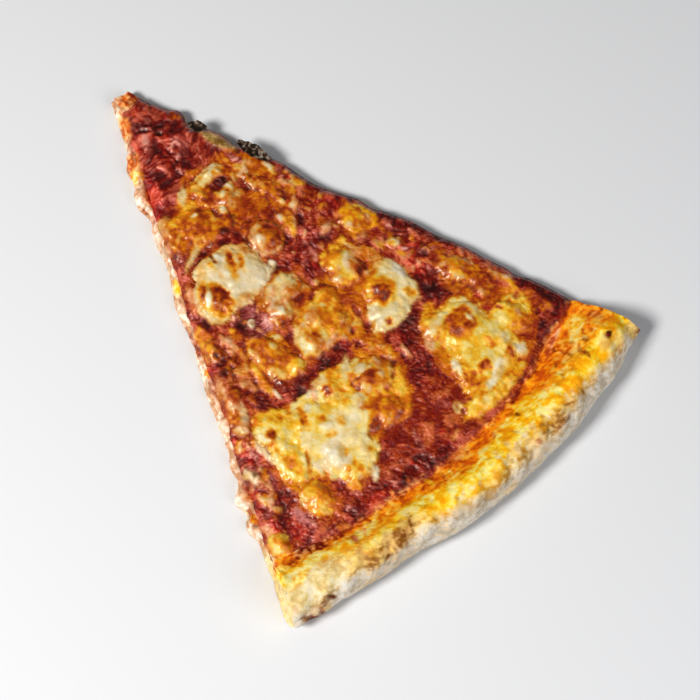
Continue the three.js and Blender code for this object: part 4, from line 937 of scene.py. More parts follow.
def add(tree, kind, **settings):
    """A new node; settings that start with in_ are the values of its inputs."""
    node = tree.nodes.new(kind)
    for key, value in settings.items():
        if key.startswith("in_"):
            node.inputs[key[3:].replace("_", " ")].default_value = value
        else:
            setattr(node, key, value)
    return node


def food_material(name, grain, mottle, rough, bump_depth, shine, coat, scatter):
    """A food surface: the painted tone, mottled; roughness from its wetness; fine relief.

    grain is the scale of the fine relief, mottle how strongly the tone varies, rough the roughness
    when dry and when wet, shine the highlights' strength and tint, and scatter the weight, radius
    and scale of light under the surface.
    """
    material = bpy.data.materials.new(name)
    material.use_nodes = True
    tree = material.node_tree
    tree.nodes.clear()
    link = tree.links.new
    out = add(tree, "ShaderNodeOutputMaterial")
    shader = add(tree, "ShaderNodeBsdfPrincipled")
    link(shader.outputs["BSDF"], out.inputs["Surface"])
    place = add(tree, "ShaderNodeTexCoord")
    tone = add(tree, "ShaderNodeAttribute", attribute_name="tone")
    moist = add(tree, "ShaderNodeAttribute", attribute_name="wet")

    coarse = add(tree, "ShaderNodeTexNoise", in_Scale=MOTTLE_SCALE, in_Detail=5.0, in_Roughness=0.6)
    link(place.outputs["Object"], coarse.inputs["Vector"])
    spread = add(tree, "ShaderNodeMapRange", in_From_Min=0.3, in_From_Max=0.7,
                 in_To_Min=1.0 - mottle, in_To_Max=1.0 + mottle)
    link(coarse.outputs["Fac"], spread.inputs["Value"])
    vary = add(tree, "ShaderNodeVectorMath", operation="SCALE")
    link(tone.outputs["Color"], vary.inputs["Vector"])
    link(spread.outputs["Result"], vary.inputs["Scale"])
    link(vary.outputs["Vector"], shader.inputs["Base Color"])

    fine = add(tree, "ShaderNodeTexNoise", in_Scale=grain, in_Detail=6.0, in_Roughness=0.62)
    link(place.outputs["Object"], fine.inputs["Vector"])
    polish = add(tree, "ShaderNodeMapRange", in_To_Min=rough[0], in_To_Max=rough[1])
    link(moist.outputs["Fac"], polish.inputs["Value"])
    uneven = add(tree, "ShaderNodeMath", operation="MULTIPLY_ADD")
    uneven.inputs[1].default_value = 2 * ROUGH_SWING
    link(fine.outputs["Fac"], uneven.inputs[0])
    link(polish.outputs["Result"], uneven.inputs[2])
    level = add(tree, "ShaderNodeMath", operation="SUBTRACT", use_clamp=True)
    level.inputs[1].default_value = ROUGH_SWING
    link(uneven.outputs["Value"], level.inputs[0])
    link(level.outputs["Value"], shader.inputs["Roughness"])

    relief = add(tree, "ShaderNodeBump", in_Strength=1.0, in_Distance=bump_depth)
    link(fine.outputs["Fac"], relief.inputs["Height"])
    link(relief.outputs["Normal"], shader.inputs["Normal"])
    settings = {
        "Coat Weight": coat, "Coat Roughness": COAT_ROUGHNESS,
        "Specular IOR Level": shine[0], "Specular Tint": shine[1],
        "Subsurface Weight": scatter[0], "Subsurface Radius": scatter[1], "Subsurface Scale": scatter[2],
    }
    for socket, value in settings.items():
        shader.inputs[socket].default_value = value
    return material


# ---------------------------------------------------------------- crust

# How finely the dough is split: spans between two points of the rim's section, stations along the
# rim, rows from the tip to the rim, levels up a cut, rows under the rim and rings on its ends.
RIM_SPANS = 7
RIM_STATIONS = 300
ROWS = 380
LEVELS = 13
RIM_FOOT_STEPS = 33
RIM_END_RINGS = 26
# From cut to cut, the points lie closer where the swells are.
CUT_STRIP = 0.08
MIDDLE_STRIP = 0.96
TOP_SHARES = np.concatenate([
    np.linspace(0, CUT_STRIP, 15), np.linspace(CUT_STRIP, MIDDLE_STRIP, 14)[1:],
    np.linspace(MIDDLE_STRIP, 1, 5)[1:],
])
# How far the base's top runs on under the slope, and the middle of the rim's ends: radius, height.
SLOPE_LAP = 1.5
END_MIDDLE = (193.5, 6.5)
# The dough's kinds of surface: the base's top, the cut sides, the underside and the rim.
TOP, SIDE, UNDER, RIM = range(4)
# Points nearer than this, in decimals of a mm, are one point; edges sharper than this aren't smoothed.
WELD = 3
SHARPEST = math.radians(65)
# Noise of the dough: size in mm, octaves, seed. Kneading has the next seeds for Y and Z.
KNEADING = (7.0, 2, 60)
KNEADING_FINE = (2.2, 2, 70)
UNDERSIDE = (6.0, 3, 80)
PUFFS = (5.5, 2, 93)
WRINKLES = (3.6, 3, 95)
CRUMBS_GRAIN = (2.6, 2, 97)
SKIN = (1.1, 2, 99)
# Pores of the cut dough: spacing, seed, size in spacings, and the share of places without one.
PORES = (1.7, 91, 0.55, 0.35)
UNDERSIDE_TOP = 0.05
# Where along the slice the cut's crumb becomes the rim's closer one.
CLOSER_CRUMB = (172.0, 180.0)


def smooth_section():
    """The rim's section with a smooth curve through its points, and how far along each one is."""
    points = np.array(RIM_SECTION, dtype=float)
    padded = np.vstack([2 * points[0] - points[1], points, 2 * points[-1] - points[-2]])
    out, steps = [], []
    for i in range(len(points) - 1):
        before, start, end, after = padded[i:i + 4]
        for k in range(RIM_SPANS):
            t = k / RIM_SPANS
            curve = 2 * start + (end - before) * t + (2 * before - 5 * start + 4 * end - after) * t ** 2
            curve = curve + (3 * start - before - 3 * end + after) * t ** 3
            out.append(curve / 2)
            steps.append(max(i + t - 1, 0.0))
    return np.array(out + [points[-1]]), np.array(steps + [len(points) - 2.0])


def rim_point(inset, height, step, share):
    """A point of the rim and its radius; inset, height and step come from its section."""
    bearing = np.degrees(blend(LOWER_CUT, UPPER_CUT, share))
    outward = smooth(RADIUS - inset, RIM_FOOT, RADIUS)
    raised = smooth(height, BASE_TOP, RIM_HEIGHT)
    ripple = RIM_RIPPLE[0] * np.sin(bearing * RIM_RIPPLE[1] + step) * raised
    z = height + raised * swell_at(RIM_SWELLS, bearing, 2) + ripple
    radius = RADIUS - inset + outward * swell_at(RIM_SWELLS, bearing, 1) + ripple
    x, y = dough_point(radius, share, z)
    return x, y, z, radius


def grid_faces(rows, columns):
    number = np.arange(rows * columns).reshape(rows, columns)
    corners = [number[:-1, :-1], number[1:, :-1], number[1:, 1:], number[:-1, 1:]]
    return np.stack([corner.ravel() for corner in corners], axis=1)


def crust_sheets():
    """Grids over the dough, each as its points, quads and kind: the flat base, then the rim."""
    sheets = []

    def sheet(x, y, z, kind, flip=False):
        x, y, z = np.broadcast_arrays(x, y, z)
        faces = grid_faces(*x.shape)
        points = np.stack([x.ravel(), y.ravel(), z.ravel()], axis=1)
        sheets.append((points, faces[:, ::-1] if flip else faces, kind))

    along = np.linspace(BLUNT_TIP, SLOPE_FOOT, ROWS)
    levels = np.linspace(0.0, BASE_TOP, LEVELS)
    s, z = np.meshgrid(along, levels, indexing="ij")
    for share in (0.0, 1.0):
        sheet(*dough_point(s, share, z), z, SIDE, flip=share > 0)
    v, z = np.meshgrid(TOP_SHARES, levels, indexing="ij")
    sheet(*dough_point(BLUNT_TIP, v, z), z, SIDE, flip=True)
    s, v = np.meshgrid(np.append(along, SLOPE_FOOT + SLOPE_LAP), TOP_SHARES, indexing="ij")
    sheet(*dough_point(s, v, BASE_TOP), BASE_TOP, TOP)
    s, v = np.meshgrid(along, TOP_SHARES, indexing="ij")
    sheet(*dough_point(s, v, 0.0), 0.0, UNDER, flip=True)

    section, steps = smooth_section()
    stations = np.linspace(0, 1, RIM_STATIONS)
    t, v = np.meshgrid(np.arange(len(section)), stations, indexing="ij")
    x, y, z, _ = rim_point(section[t, 0], section[t, 1], steps[t], v)
    sheet(x, y, z, RIM)
    below = np.linspace(0, 1, RIM_FOOT_STEPS)
    t, v = np.meshgrid(below, stations, indexing="ij")
    bearing = np.degrees(blend(LOWER_CUT, UPPER_CUT, v))
    foot = RADIUS - RIM_SECTION[-1][0] + swell_at(RIM_SWELLS, bearing, 1)
    sheet(*dough_point(blend(SLOPE_FOOT, foot, t), v, 0.0), 0.0, UNDER, flip=True)

    shrink = np.linspace(1, 0, RIM_END_RINGS)[:, None]
    for share in (0.0, 1.0):
        _, _, z, radius = rim_point(section[:, 0], section[:, 1], steps, share)
        ring = np.concatenate([np.full(LEVELS, SLOPE_FOOT), radius, blend(radius[-1], SLOPE_FOOT, below[1:])])
        ring_z = np.concatenate([levels, z, blend(z[-1], 0.0, below[1:])])
        s = END_MIDDLE[0] + (ring - END_MIDDLE[0]) * shrink
        z = END_MIDDLE[1] + (ring_z - END_MIDDLE[1]) * shrink
        sheet(*dough_point(s, share, z), z, SIDE, flip=share == 0)
    return sheets


def welded(sheets):
    """Joins the sheets where their points meet; a quad that loses a corner becomes a triangle."""
    points = np.concatenate([part[0] for part in sheets])
    kind = np.concatenate([np.full(len(part[0]), part[2]) for part in sheets])
    offsets = np.cumsum([0] + [len(part[0]) for part in sheets[:-1]])
    faces = np.concatenate([part[1] + offset for part, offset in zip(sheets, offsets)])
    _, keep, back = np.unique(np.round(points, WELD), axis=0, return_index=True, return_inverse=True)
    faces = back.ravel()[faces]
    whole = (faces != np.roll(faces, 1, axis=1)).all(axis=1)
    loops = [[p for i, p in enumerate(quad) if p != quad[i - 1]] for quad in faces[~whole].tolist()]
    triangles = [loop for loop in loops if len(loop) == 3]
    return points[keep], kind[keep], faces[whole].tolist() + triangles


def kneaded(plain):
    """The dough's points moved to make it lumpy; its underside stays nearly flat."""
    x, y, z = plain.T
    lump = 0.35 + 0.05 * smooth(np.hypot(x, y), RIM_FOOT - 3, RIM_FOOT + 4)
    points = plain.copy()
    for axis in range(3):
        push = lump * fbm(x, y, z, *KNEADING[:2], KNEADING[2] + axis)
        points[:, axis] += push + 0.16 * fbm(x, y, z, *KNEADING_FINE[:2], KNEADING_FINE[2] + axis)
    flat = 0.25 * smooth(fbm(x, y, z, *UNDERSIDE), -0.2, 0.8)
    points[:, 2] = np.where(z < UNDERSIDE_TOP, flat, np.maximum(points[:, 2], UNDERSIDE_TOP))
    return points


def vertex_normals(points, faces):
    mesh = bpy.data.meshes.new("normals")
    mesh.from_pydata(points.tolist(), [], faces)
    mesh.update()
    out = np.zeros(len(points) * 3)
    mesh.vertex_normals.foreach_get("vector", out)
    bpy.data.meshes.remove(mesh)
    return out.reshape(-1, 3)


def dough_relief(plain, kind):
    """How far the surface stands out: pores in the cuts, puffs beside the lower one, wrinkles."""
    x, y, z = plain.T
    radius = np.hypot(x, y)
    spacing, seed, size, without = PORES
    first, _, own = cells(x + 0.7 * z, y - 0.9 * z, spacing, seed)
    pores = bump(first / size) * (own > without)
    side = (kind == SIDE).astype(float)
    puffs = np.abs(fbm(x, y, z, *PUFFS)) * 1.3 - 0.2
    puffed = smooth(lower_edge(x, y), 4.5, 2.0) * (kind != UNDER) * puffs * smooth(z, 0.5, 2.5)
    crumbly = side * (1 - 0.8 * smooth(radius, *CLOSER_CRUMB))
    relief = crumbly * (0.25 * fbm(x, y, z, *CRUMBS_GRAIN) - 0.45 * pores)
    wrinkle = 0.4 - np.abs(fbm(x, y, z * 1.4, *WRINKLES))
    drawn = drawn_out(bearing_of(x, y), radius + z)
    relief = relief + (1 - side) * (0.15 * wrinkle + 0.05 * drawn + 0.05 * fbm(x, y, z, *SKIN))
    return relief * np.where(kind == UNDER, 0.3, 1.0) + puffed


def crust_piece(material):
    """The dough: its flat base with both cut sides, and the raised rim."""
    plain, kind, faces = welded(crust_sheets())
    relief = dough_relief(plain, kind)
    points = kneaded(plain)
    points = points + vertex_normals(points, faces) * relief[:, None]
    points[:, 2] = np.maximum(points[:, 2], 0.0)
    colour, wet = crust_tones(plain, kind, relief)
    piece = as_mesh("crust_dough", points, faces, colour, wet)
    piece.data.set_sharp_from_angle(angle=SHARPEST)
    placed(piece, "crust", material)


# ---------------------------------------------------------------- the dough's colours

# The paint's places are those of points at this height; others shift by LEAN for each mm above it.
PAINT_HEIGHT = 8.0
LEAN = (-0.274, 0.240)
# Where the rim's colours may begin, and the noise they wander by: size in mm, octaves, seed.
RIM_START = 170.0
MARKS = [(14.0, 3, 101), (5.0, 4, 103), (1.6, 3, 105)]
DRAWN = (1.6, 3, 109)


def as_seen(x, y, z):
    """Where a point shows in the paint's plan."""
    return x + LEAN[0] * (z - PAINT_HEIGHT), y + LEAN[1] * (z - PAINT_HEIGHT)


def drawn_out(bearing, across):
    """Noise drawn out along the rim."""
    return fbm(0.9 * bearing, 1.1 * across, 0.0, *DRAWN)


def marked(x, y, z):
    """The broad, patchy and fine noise of the dough's colours, and the shade they make."""
    broad, patch, fleck = (fbm(x, y, z, *mark) for mark in MARKS)
    return broad, patch, fleck, evenly(0.8 * patch + 0.8 * fleck, 0.26)


# Along the rim, by bearing: where the sauce ends, then the orange, the yellow and the brown.
RIM_BANDS = [
    (-22, 184.8, 186.4, 197.0, 200.5), (-16, 183.0, 185.2, 194.5, 196.0), (-12, 181.6, 184.8, 190.6, 195.5),
    (-8, 181.2, 183.4, 188.6, 193.6), (-4, 181.8, 186.0, 194.0, 195.8), (0, 181.0, 187.0, 194.0, 197.6),
    (4, 181.4, 185.4, 192.6, 197.0), (8, 180.8, 182.8, 192.6, 199.0), (12, 180.8, 186.6, 193.6, 197.2),
    (15.5, 178.2, 189.4, 196.4, 198.2), (18.5, 179.4, 190.0, 198.0, 200.0),
    (22, 178.6, 193.0, 200.0, 201.5),
]
SAUCE_END, ORANGE_END, YELLOW_END, BROWN_END = 1, 2, 3, 4


def rim_band(bearing, column):
    bands = np.array(RIM_BANDS)
    return np.interp(bearing, bands[:, 0], bands[:, column])


def layered(colour, layers):
    """Tints the colour with each layer's food, mask and shade in turn."""
    for food, mask, shade in layers:
        colour = tinted(colour, food, mask, shade)
    return colour


def rim_colours(x, y, z, below, marks):
    """The rim's colours over those below, from the sauce outward: stained, orange, yellow, flour."""
    broad, patch, fleck, shade = marks
    even = evenly(patch + 0.35 * fleck, 0.3)
    seen_x, seen_y = as_seen(x, y, z)
    radius = np.hypot(seen_x, seen_y)
    bearing = bearing_of(seen_x, seen_y)
    drawn = drawn_out(bearing, radius + z)
    dusty = evenly(0.6 * patch + 0.7 * fleck + 0.6 * drawn, 0.29)
    wander = radius + 1.4 * patch + 0.8 * fleck
    past_sauce, past_orange, past_yellow, past_brown = (
        wander - rim_band(bearing, column) for column in (SAUCE_END, ORANGE_END, YELLOW_END, BROWN_END)
    )
    paler = smooth(bearing + 3 * patch, -11.0, -18.0) * smooth(past_orange, 0.6, 3.4)
    yellowed = tinted(ramped("rim_yellow", even), "rim_pale", paler, even)
    toasty = smooth(0.7 * patch + 0.6 * fleck + 0.8 * broad, 0.0, 0.4)
    floury = smooth(past_brown + patch + 0.8 * drawn, -2.8, 2.4)
    speckle = floury * smooth(0.7 * fleck + 0.6 * patch + 0.5 * broad, 0.2, 0.4)
    colour = layered(below, [
        ("stained", smooth(past_sauce, -1.6, 0.2), shade),
        ("rim_orange", smooth(past_sauce, -0.3, 1.6), even),
    ])
    colour = blend(colour, yellowed, smooth(past_orange, -1.6, 1.2)[..., None])
    return layered(colour, [
        ("rim_gold", smooth(past_yellow + patch, -3.0, 2.6), dusty),
        ("rim_brown", smooth(past_yellow, -1.5, 1.5) * toasty * 0.75, dusty),
        ("flour", floury * 0.95, 0.55 + 0.5 * (dusty - 0.5)),
        ("rim_brown", speckle * 0.55, shade),
    ])


def crust_tones(plain, kind, relief):
    """Baked dough: puffed and smeared along the cuts, gold inside the rim, floury outside, brown below."""
    x, y, z = plain.T
    marks = marked(x, y, z)
    broad, patch, fleck, shade = marks
    radius = np.hypot(x, y)
    side, under = (kind == SIDE), (kind == UNDER)

    swollen = lower_plain(radius) + swell_along(LOWER_SWELLS, radius) - LOWER_SLANT
    lower = lower_edge(x, y) + swollen + 2.2 * patch + fleck
    upper = upper_edge(x, y)
    colour, _, _ = painted(x, y, shade, SPOTS, TOPPING_SEED, ramped("smeared", shade), None)
    # Along the upper cut the top is darkened: partly browned, partly painted shade of the side that faces
    # away from the light.
    colour = layered(colour, [
        ("dough", np.maximum(smooth(lower, 1.7, 0.4), side), shade),
        ("dark", smooth(upper, 5.0, 3.5) * smooth(x, 11.0, 18.0), shade),
    ])
    rim = (radius > RIM_START) & (z > 0.0)
    colour[rim] = rim_colours(x[rim], y[rim], z[rim], colour[rim], [mark[rim] for mark in marks])

    cut_rim = side * smooth(radius, 174.0, 182.0)
    crumb = side * smooth(radius, 176.0, 184.0) * smooth(fleck + 0.4 * patch, 0.05, 0.4)
    torn = cut_rim * (y > 0)
    baked = side * (y > 0) * smooth(radius, 190.0, 176.0) * smooth(x, 10.0, 20.0)
    colour = layered(colour, [
        # The bark along the upper cut is partly painted shade too.
        ("bark", smooth(upper + 2 * fleck, 2.4, 0.4) * smooth(z, 4.0, 8.0) * 0.8, shade),
        ("rim_pale", cut_rim * (y < 0), shade),
        ("flour", side * smooth(-relief, 0.05, 0.35) * 0.6, 0.3),
        ("rim_gold", crumb * 0.7, shade),
        ("rim_gold", side * smooth(z, 1.2, 0.2) * 0.8, shade),
        ("dough", torn * 0.9, shade),
        ("rim_gold", torn * smooth(patch + 0.6 * fleck, -0.1, 0.4) * 0.7, shade),
        ("bark", torn * smooth(-fleck - 0.4 * patch, 0.2, 0.6) * 0.7, shade),
        ("rim_brown", baked * 0.6, shade),
        ("bark", baked * smooth(z + patch, 2.6, 4.4) * 0.9, shade),
        ("rim_gold", under, shade),
        ("rim_brown", under * smooth(patch + 0.5 * broad, -0.1, 0.5) * 0.9, shade),
        ("bark", under * smooth(broad + 0.6 * patch, 0.35, 0.8) * 0.6, shade),
        ("flour", under * smooth(fleck - 0.4 * patch, 0.1, 0.5) * 0.5, shade),
    ])
    over, _, _ = painted(*as_seen(x, y, z), shade, CRUST_SPOTS, CRUST_SEED, colour, None)
    bare = under | (side & (y > 0))
    colour = np.where(bare[:, None], colour, over)
    oily = smooth(radius, RIM_START + 8, RIM_START + 12)
    oily = oily * smooth(radius - rim_band(0.0, YELLOW_END), 1.0, -1.0)
    return colour, 0.6 * oily


# ---------------------------------------------------------------- what lies on the dough

SAUCE_STEP = 0.46
# The box that the sauce lies in: X from and to, Y from and to.
SAUCE_BOX = (SAUCE_TIP - 1, SAUCE_RADIUS + 5, -76.0, 74.0)
# How deep the sauce's wall goes into the dough.
SAUCE_SINK = 0.3
# How many grid steps round a point its hollow is measured against, for the painted shade in the hollows.
HOLLOW_REACH = 4
# The slope's rise, as height for each mm outward.
SLOPE_RISE = 0.68
# Noise of the sauce: size in mm, octaves, seed.
RAG = (9.0, 3, 251)
FLOW = (26.0, 1, 233)
BEND_X, BEND_Y = (4.0, 2, 201), (4.0, 2, 202)
PULP = (3.0, 2, 205)
LUMPS = (5.0, 2, 206)
FIBRES = (1.2, 2, 207)
PATCHY = (7.0, 2, 211)
FRINGE = (5.0, 3, 217)
# Browning and hue of the film's fringe round the cheese, and how dark it is there.
FRINGE_BROWNING, FRINGE_SWING, FRINGE_HUE = 0.95, 0.35, 1.3


def ragged_topping(x, y):
    """Distance inside the ragged outline of all that lies on the dough."""
    radius = np.hypot(x, y)
    rag = fbm(x, y, 0.0, *RAG)
    lower = lower_edge(x, y) + lower_plain(radius) - SAUCE_LOWER_INSET + 0.9 - 1.4 * rag
    upper = upper_edge(x, y) - SAUCE_UPPER_INSET
    outer = rim_band(bearing_of(x, y), SAUCE_END) + 1.0 + 1.6 * rag - radius
    tip = x - SAUCE_TIP - 0.6 - 2.2 * rag
    return np.minimum(np.minimum(lower, upper), np.minimum(outer, tip))


def fringe_of_film(x, y):
    """How much browned film lies at each point round the patches of cheese."""
    lobes = [lobe for patch in CHEESE.values() for lobe in patch["lobes"]]
    near = np.max([inside_ellipse(x, y, lobe) for lobe in lobes], axis=0)
    return smooth(near + 3.0 * fbm(x, y, 0.0, *FRINGE), -3.2, -0.2) * 0.85


def ground(x, y, inside):
    """The sauce with the thin browned film on it: its height, colour and wetness at each point."""
    flow = 0.9 * fbm(x, y, 0.0, *FLOW) - 0.7
    bent_x = x + 1.2 * fbm(x, y, 0.0, *BEND_X)
    bent_y = y + 1.2 * fbm(x, y, 0.0, *BEND_Y)
    turned_x = bent_x * np.cos(flow) + bent_y * np.sin(flow)
    turned_y = bent_y * np.cos(flow) - bent_x * np.sin(flow)
    pulp = np.hypot(fbm(turned_x / 1.8, turned_y, 0.0, *PULP), 0.07) - 0.03
    lumps = np.hypot(fbm(bent_x, bent_y, 0.0, *LUMPS), 0.12) - 0.06
    fine = fbm(turned_x / 1.5, turned_y, 0.0, *FIBRES)
    patchy = fbm(x, y, 0.0, *PATCHY)
    # The tone follows the lumps and pulp of the relief, lighter on their tops and darker between them: partly
    # painted shade, partly the pulp's own mottling.
    shade = evenly(0.8 * (lumps - 0.22) + 0.8 * (pulp - 0.22) + 0.6 * fine + 0.8 * patchy, 0.34)

    fringe = fringe_of_film(x, y)
    browning = np.clip(FRINGE_BROWNING - FRINGE_SWING * shade, 0, 1)
    fringed = browned(browning, np.full(x.shape, FRINGE_HUE))
    base = blend(ramped("sauce", shade), fringed, fringe[..., None])
    colour, pulpy, raised = painted(x, y, shade, SPOTS, TOPPING_SEED, base, None)
    pulpy = pulpy * (1 - 0.5 * fringe)
    rough = 0.85 * lumps + 0.75 * pulp + 0.45 * fine - 0.52
    skin = 0.5 * lumps + 0.2 * pulp + 0.08 * fine - 0.2
    relief = blend(skin, rough, pulpy) + raised
    height = sauce_top(x, y) + relief * smooth(inside, 0.0, 2.0)
    height = height - (SAUCE_EDGE - 0.1) * (1 - smooth(inside, 0.0, 1.6))

    radius = np.hypot(x, y)
    to_rim = rim_band(bearing_of(x, y), SAUCE_END) - radius
    rising = BASE_TOP + GAP + SLOPE_RISE * np.maximum(radius - SLOPE_FOOT, 0.0) + 0.2 * fine
    rising = rising - 1.1 * (1 - smooth(inside, 0.0, 2.0))
    height = blend(rising, height, smooth(to_rim, -1.0, 3.0))
    # Painted shade: the sauce darkens in its hollows.
    hollow = height - softened(height, HOLLOW_REACH)
    colour = tinted(colour, "dark", smooth(-hollow, 0.15, 0.8) * 0.4, shade)

    by_rim = radius > RIM_START
    place = x[by_rim], y[by_rim], height[by_rim]
    rim = rim_colours(*place, colour[by_rim], marked(*place))
    colour[by_rim], _, _ = painted(*as_seen(*place), shade[by_rim], CRUST_SPOTS, CRUST_SEED, rim, None)
    # Along the upper cut the sauce is darkened: partly browned, partly painted shade of the side that faces
    # away from the light.
    browned_and_shaded_edge = smooth(upper_edge(x, y) + 0.8 * fine, 3.0, 0.4) * smooth(x, 60, 80)
    colour = tinted(colour, "dark", browned_and_shaded_edge * 0.8, shade)
    wet = (0.82 + 0.25 * shade) * smooth(to_rim, -0.5, 4.0)
    return height, colour, wet


def sauce_piece(material):
    """Crushed tomato with the oil and the thin browned cheese film that lies on it."""
    x, y, cell, inside = trimmed_grid(ragged_topping, SAUCE_BOX, SAUCE_STEP)
    top, colour, wet = ground(x, y, inside)
    under = np.full(x.shape, BASE_TOP - SAUCE_SINK)
    piece = layer_piece("tomato_sauce_layer", (x, y, cell), top, under, colour, wet, closed=False)
    placed(piece, "tomato_sauce", material)


# ---------------------------------------------------------------- cheese

CHEESE_STEP = 0.42
# How softly a patch's lobes run into one another, and how far its outline may reach past them, in mm.
MERGE = 1.4
PATCH_REACH = 3.0
# How far a patch's underside lies below the sauce's plain top.
PATCH_SINK = 1.2
# Cheeses with a lacy edge, with a crisp edge that hardly browns, and with one that browns little.
LACY, LACY_RAG, PLAIN_RAG = ("film", "amber", "tan", "orange", "peach"), 2.4, 1.6
CRISP, CRISP_EDGE = ("cream", "ivory"), 0.12
SOFT, SOFT_EDGE = ("butter", "honey"), 0.2
BROWN_EDGE = 0.35
# What shows of the cheese where no paint lies on it: browning and hue.
FILM_BROWNING, FILM_HUE = 0.7, 1.5
# Noise of the cheese: size in mm and octaves, and a seed where every patch shares it.
LACE = (6.0, 3)
FRILL = (2.0, 2)
CLOUDS = (4.0, 3, 213)
FLECKS = (1.5, 2, 215)
BLISTER_BEND = (4.0, 2)
BUBBLE_SPACING = 3.4
BUBBLE_SHARE = 0.3
CREASES = (6.5, 2)
CHEESE_GRAIN = (1.6, 2)


def patch_field(patch, seed):
    """A function that gives the distance inside the patch's ragged outline."""
    rag = LACY_RAG if patch["cheese"] in LACY else PLAIN_RAG

    def field(x, y):
        depth = MERGE * np.log(sum(np.exp(inside_ellipse(x, y, lobe) / MERGE) for lobe in patch["lobes"]))
        for hollow in patch.get("hollows", []):
            depth = np.minimum(depth, -inside_ellipse(x, y, hollow))
        ragged = depth + rag * fbm(x, y, 0.0, *LACE, seed) + 0.7 * fbm(x, y, 0.0, *FRILL, seed + 3)
        return np.minimum(ragged + 0.5, ragged_topping(x, y) + 0.3)

    return field


def patch_box(patch):
    spans = [(x, y, max(length, width) + PATCH_REACH) for x, y, length, width, _ in patch["lobes"]]
    return (
        min(x - span for x, _, span in spans), max(x + span for x, _, span in spans),
        min(y - span for _, y, span in spans), max(y + span for _, y, span in spans),
    )


def cheese_relief(x, y, patch, seed, inside, raised):
    """How far the cheese stands out from a plain patch: blisters, bubbles, creases and grain."""
    swollen = 0.0
    for middle_x, middle_y, radius, height in patch["blisters"]:
        distance = np.hypot(x - middle_x, y - middle_y) / (radius * DOME_REACH)
        distance = distance * (1 + 0.2 * fbm(x, y, 0.0, *BLISTER_BEND, seed + 7))
        swollen = swollen + height * bump(distance)
    first, _, own = cells(x, y, BUBBLE_SPACING, seed + 11)
    bubbles = (own > 1 - BUBBLE_SHARE) * bump(first / (0.3 + 0.3 * own)) * (0.1 + 0.3 * own)
    wrinkle = np.abs(fbm(x, y, 0.0, *CREASES, seed + 13))
    fine = fbm(x, y, 0.0, *CHEESE_GRAIN, seed + 17)
    uneven = bubbles + 0.4 * wrinkle + 0.07 * fine - 0.1 + 0.5 * (raised - 0.2)
    return swollen + smooth(inside, 0.2, 2.2) * uneven


def cheese_piece(name, patch, seed, material):
    """One melted patch, lying on the sauce with a lacy edge, with blisters and wrinkles."""
    cheese = patch["cheese"]
    x, y, cell, inside = trimmed_grid(patch_field(patch, seed), patch_box(patch), CHEESE_STEP)
    below, tone_below, _ = ground(x, y, np.maximum(ragged_topping(x, y), 0.0))

    shade = evenly(fbm(x, y, 0.0, *CLOUDS) + 0.45 * fbm(x, y, 0.0, *FLECKS), 0.27)
    film = browned(np.full(x.shape, FILM_BROWNING), np.full(x.shape, FILM_HUE))
    crisp = cheese in CRISP
    edge_browning = CRISP_EDGE if crisp else SOFT_EDGE if cheese in SOFT else BROWN_EDGE
    thin = edge_browning * (1 - smooth(inside, 0.2, 1.4 if crisp else 2.6))
    colour, _, raised = painted(x, y, shade, SPOTS, TOPPING_SEED, film, cheese, thin)
    colour = blend(tone_below, colour, smooth(inside, 0.0, 1.0 if crisp else 2.0)[..., None])

    body = smooth(inside, 0.3, CHEESE_TAPER)
    thick = -0.12 + 0.3 * smooth(inside, 0.0, 2.4) + 0.6 * (patch["thick"] - 0.7) * body
    plain = sauce_top(x, y)
    top = blend(below, plain + 0.1, 0.75 * body) + thick + cheese_relief(x, y, patch, seed, inside, raised)
    wet = 0.5 + 0.7 * shade
    piece = layer_piece(name + "_melt", (x, y, cell), top, plain - PATCH_SINK, colour, wet, closed=True)
    placed(piece, name, material)


# ---------------------------------------------------------------- basil

# Each scrap's middle and underside, its length, width and turn, and how far it waves.
LEAVES = {
    "charred_basil_long": ((54.0, 19.6, 6.85), 14.0, 4.6, 17.0, 0.6),
    "charred_basil_short": ((33.5, 10.8, 6.75), 7.0, 4.2, 38.0, 0.5),
}
LEAF_ROWS, LEAF_COLUMNS = 90, 40
LEAF_THICK = 0.4
# Noise of the leaf: size in mm, octaves.
TORN_EDGE = (3.0, 3)
CRUMPLES = (1.6, 3)
ASH = (1.6, 3)


def basil_piece(name, leaf, seed, material):
    """A charred scrap of leaf: thin, curled and torn along its edge."""
    (middle_x, middle_y, base), length, width, turn, wave = leaf
    along, across = np.meshgrid(np.linspace(0, 1, LEAF_ROWS), np.linspace(-1, 1, LEAF_COLUMNS), indexing="ij")
    ragged = 1 + 0.22 * fbm(along * 20, across * 2, 0.0, *TORN_EDGE, seed)
    half = width / 2 * (0.25 + 0.75 * np.sin(math.pi * along)) * ragged
    u = (along - 0.5) * length
    v = across * half
    curl = wave * (1 + np.sin(1.9 * u + 0.6 * v)) / 2 + wave * across ** 2
    crumple = 0.25 * np.abs(fbm(u, v, 0.0, *CRUMPLES, seed + 3))
    angle = math.radians(turn)
    x = middle_x + u * math.cos(angle) - v * math.sin(angle)
    y = middle_y + u * math.sin(angle) + v * math.cos(angle)
    low = np.stack([x, y, base + curl + crumple], axis=-1).reshape(-1, 3)
    points = np.concatenate([low, low + np.array([0.0, 0.0, LEAF_THICK])])
    faces = grid_faces(LEAF_ROWS, LEAF_COLUMNS)
    count = len(low)
    rim = edge_pairs(faces)
    wall = np.stack([rim[:, 0], rim[:, 1], rim[:, 1] + count, rim[:, 0] + count], axis=1)
    faces = np.concatenate([faces[:, ::-1], faces + count, wall]).tolist()
    ash = fbm(*points.T, *ASH, seed + 5)
    colour = ramped("char", evenly(ash, 0.34))
    piece = as_mesh(name + "_scrap", points, faces, colour, np.full(len(points), 0.3))
    placed(piece, name, material)


# ---------------------------------------------------------------- the dressed slice

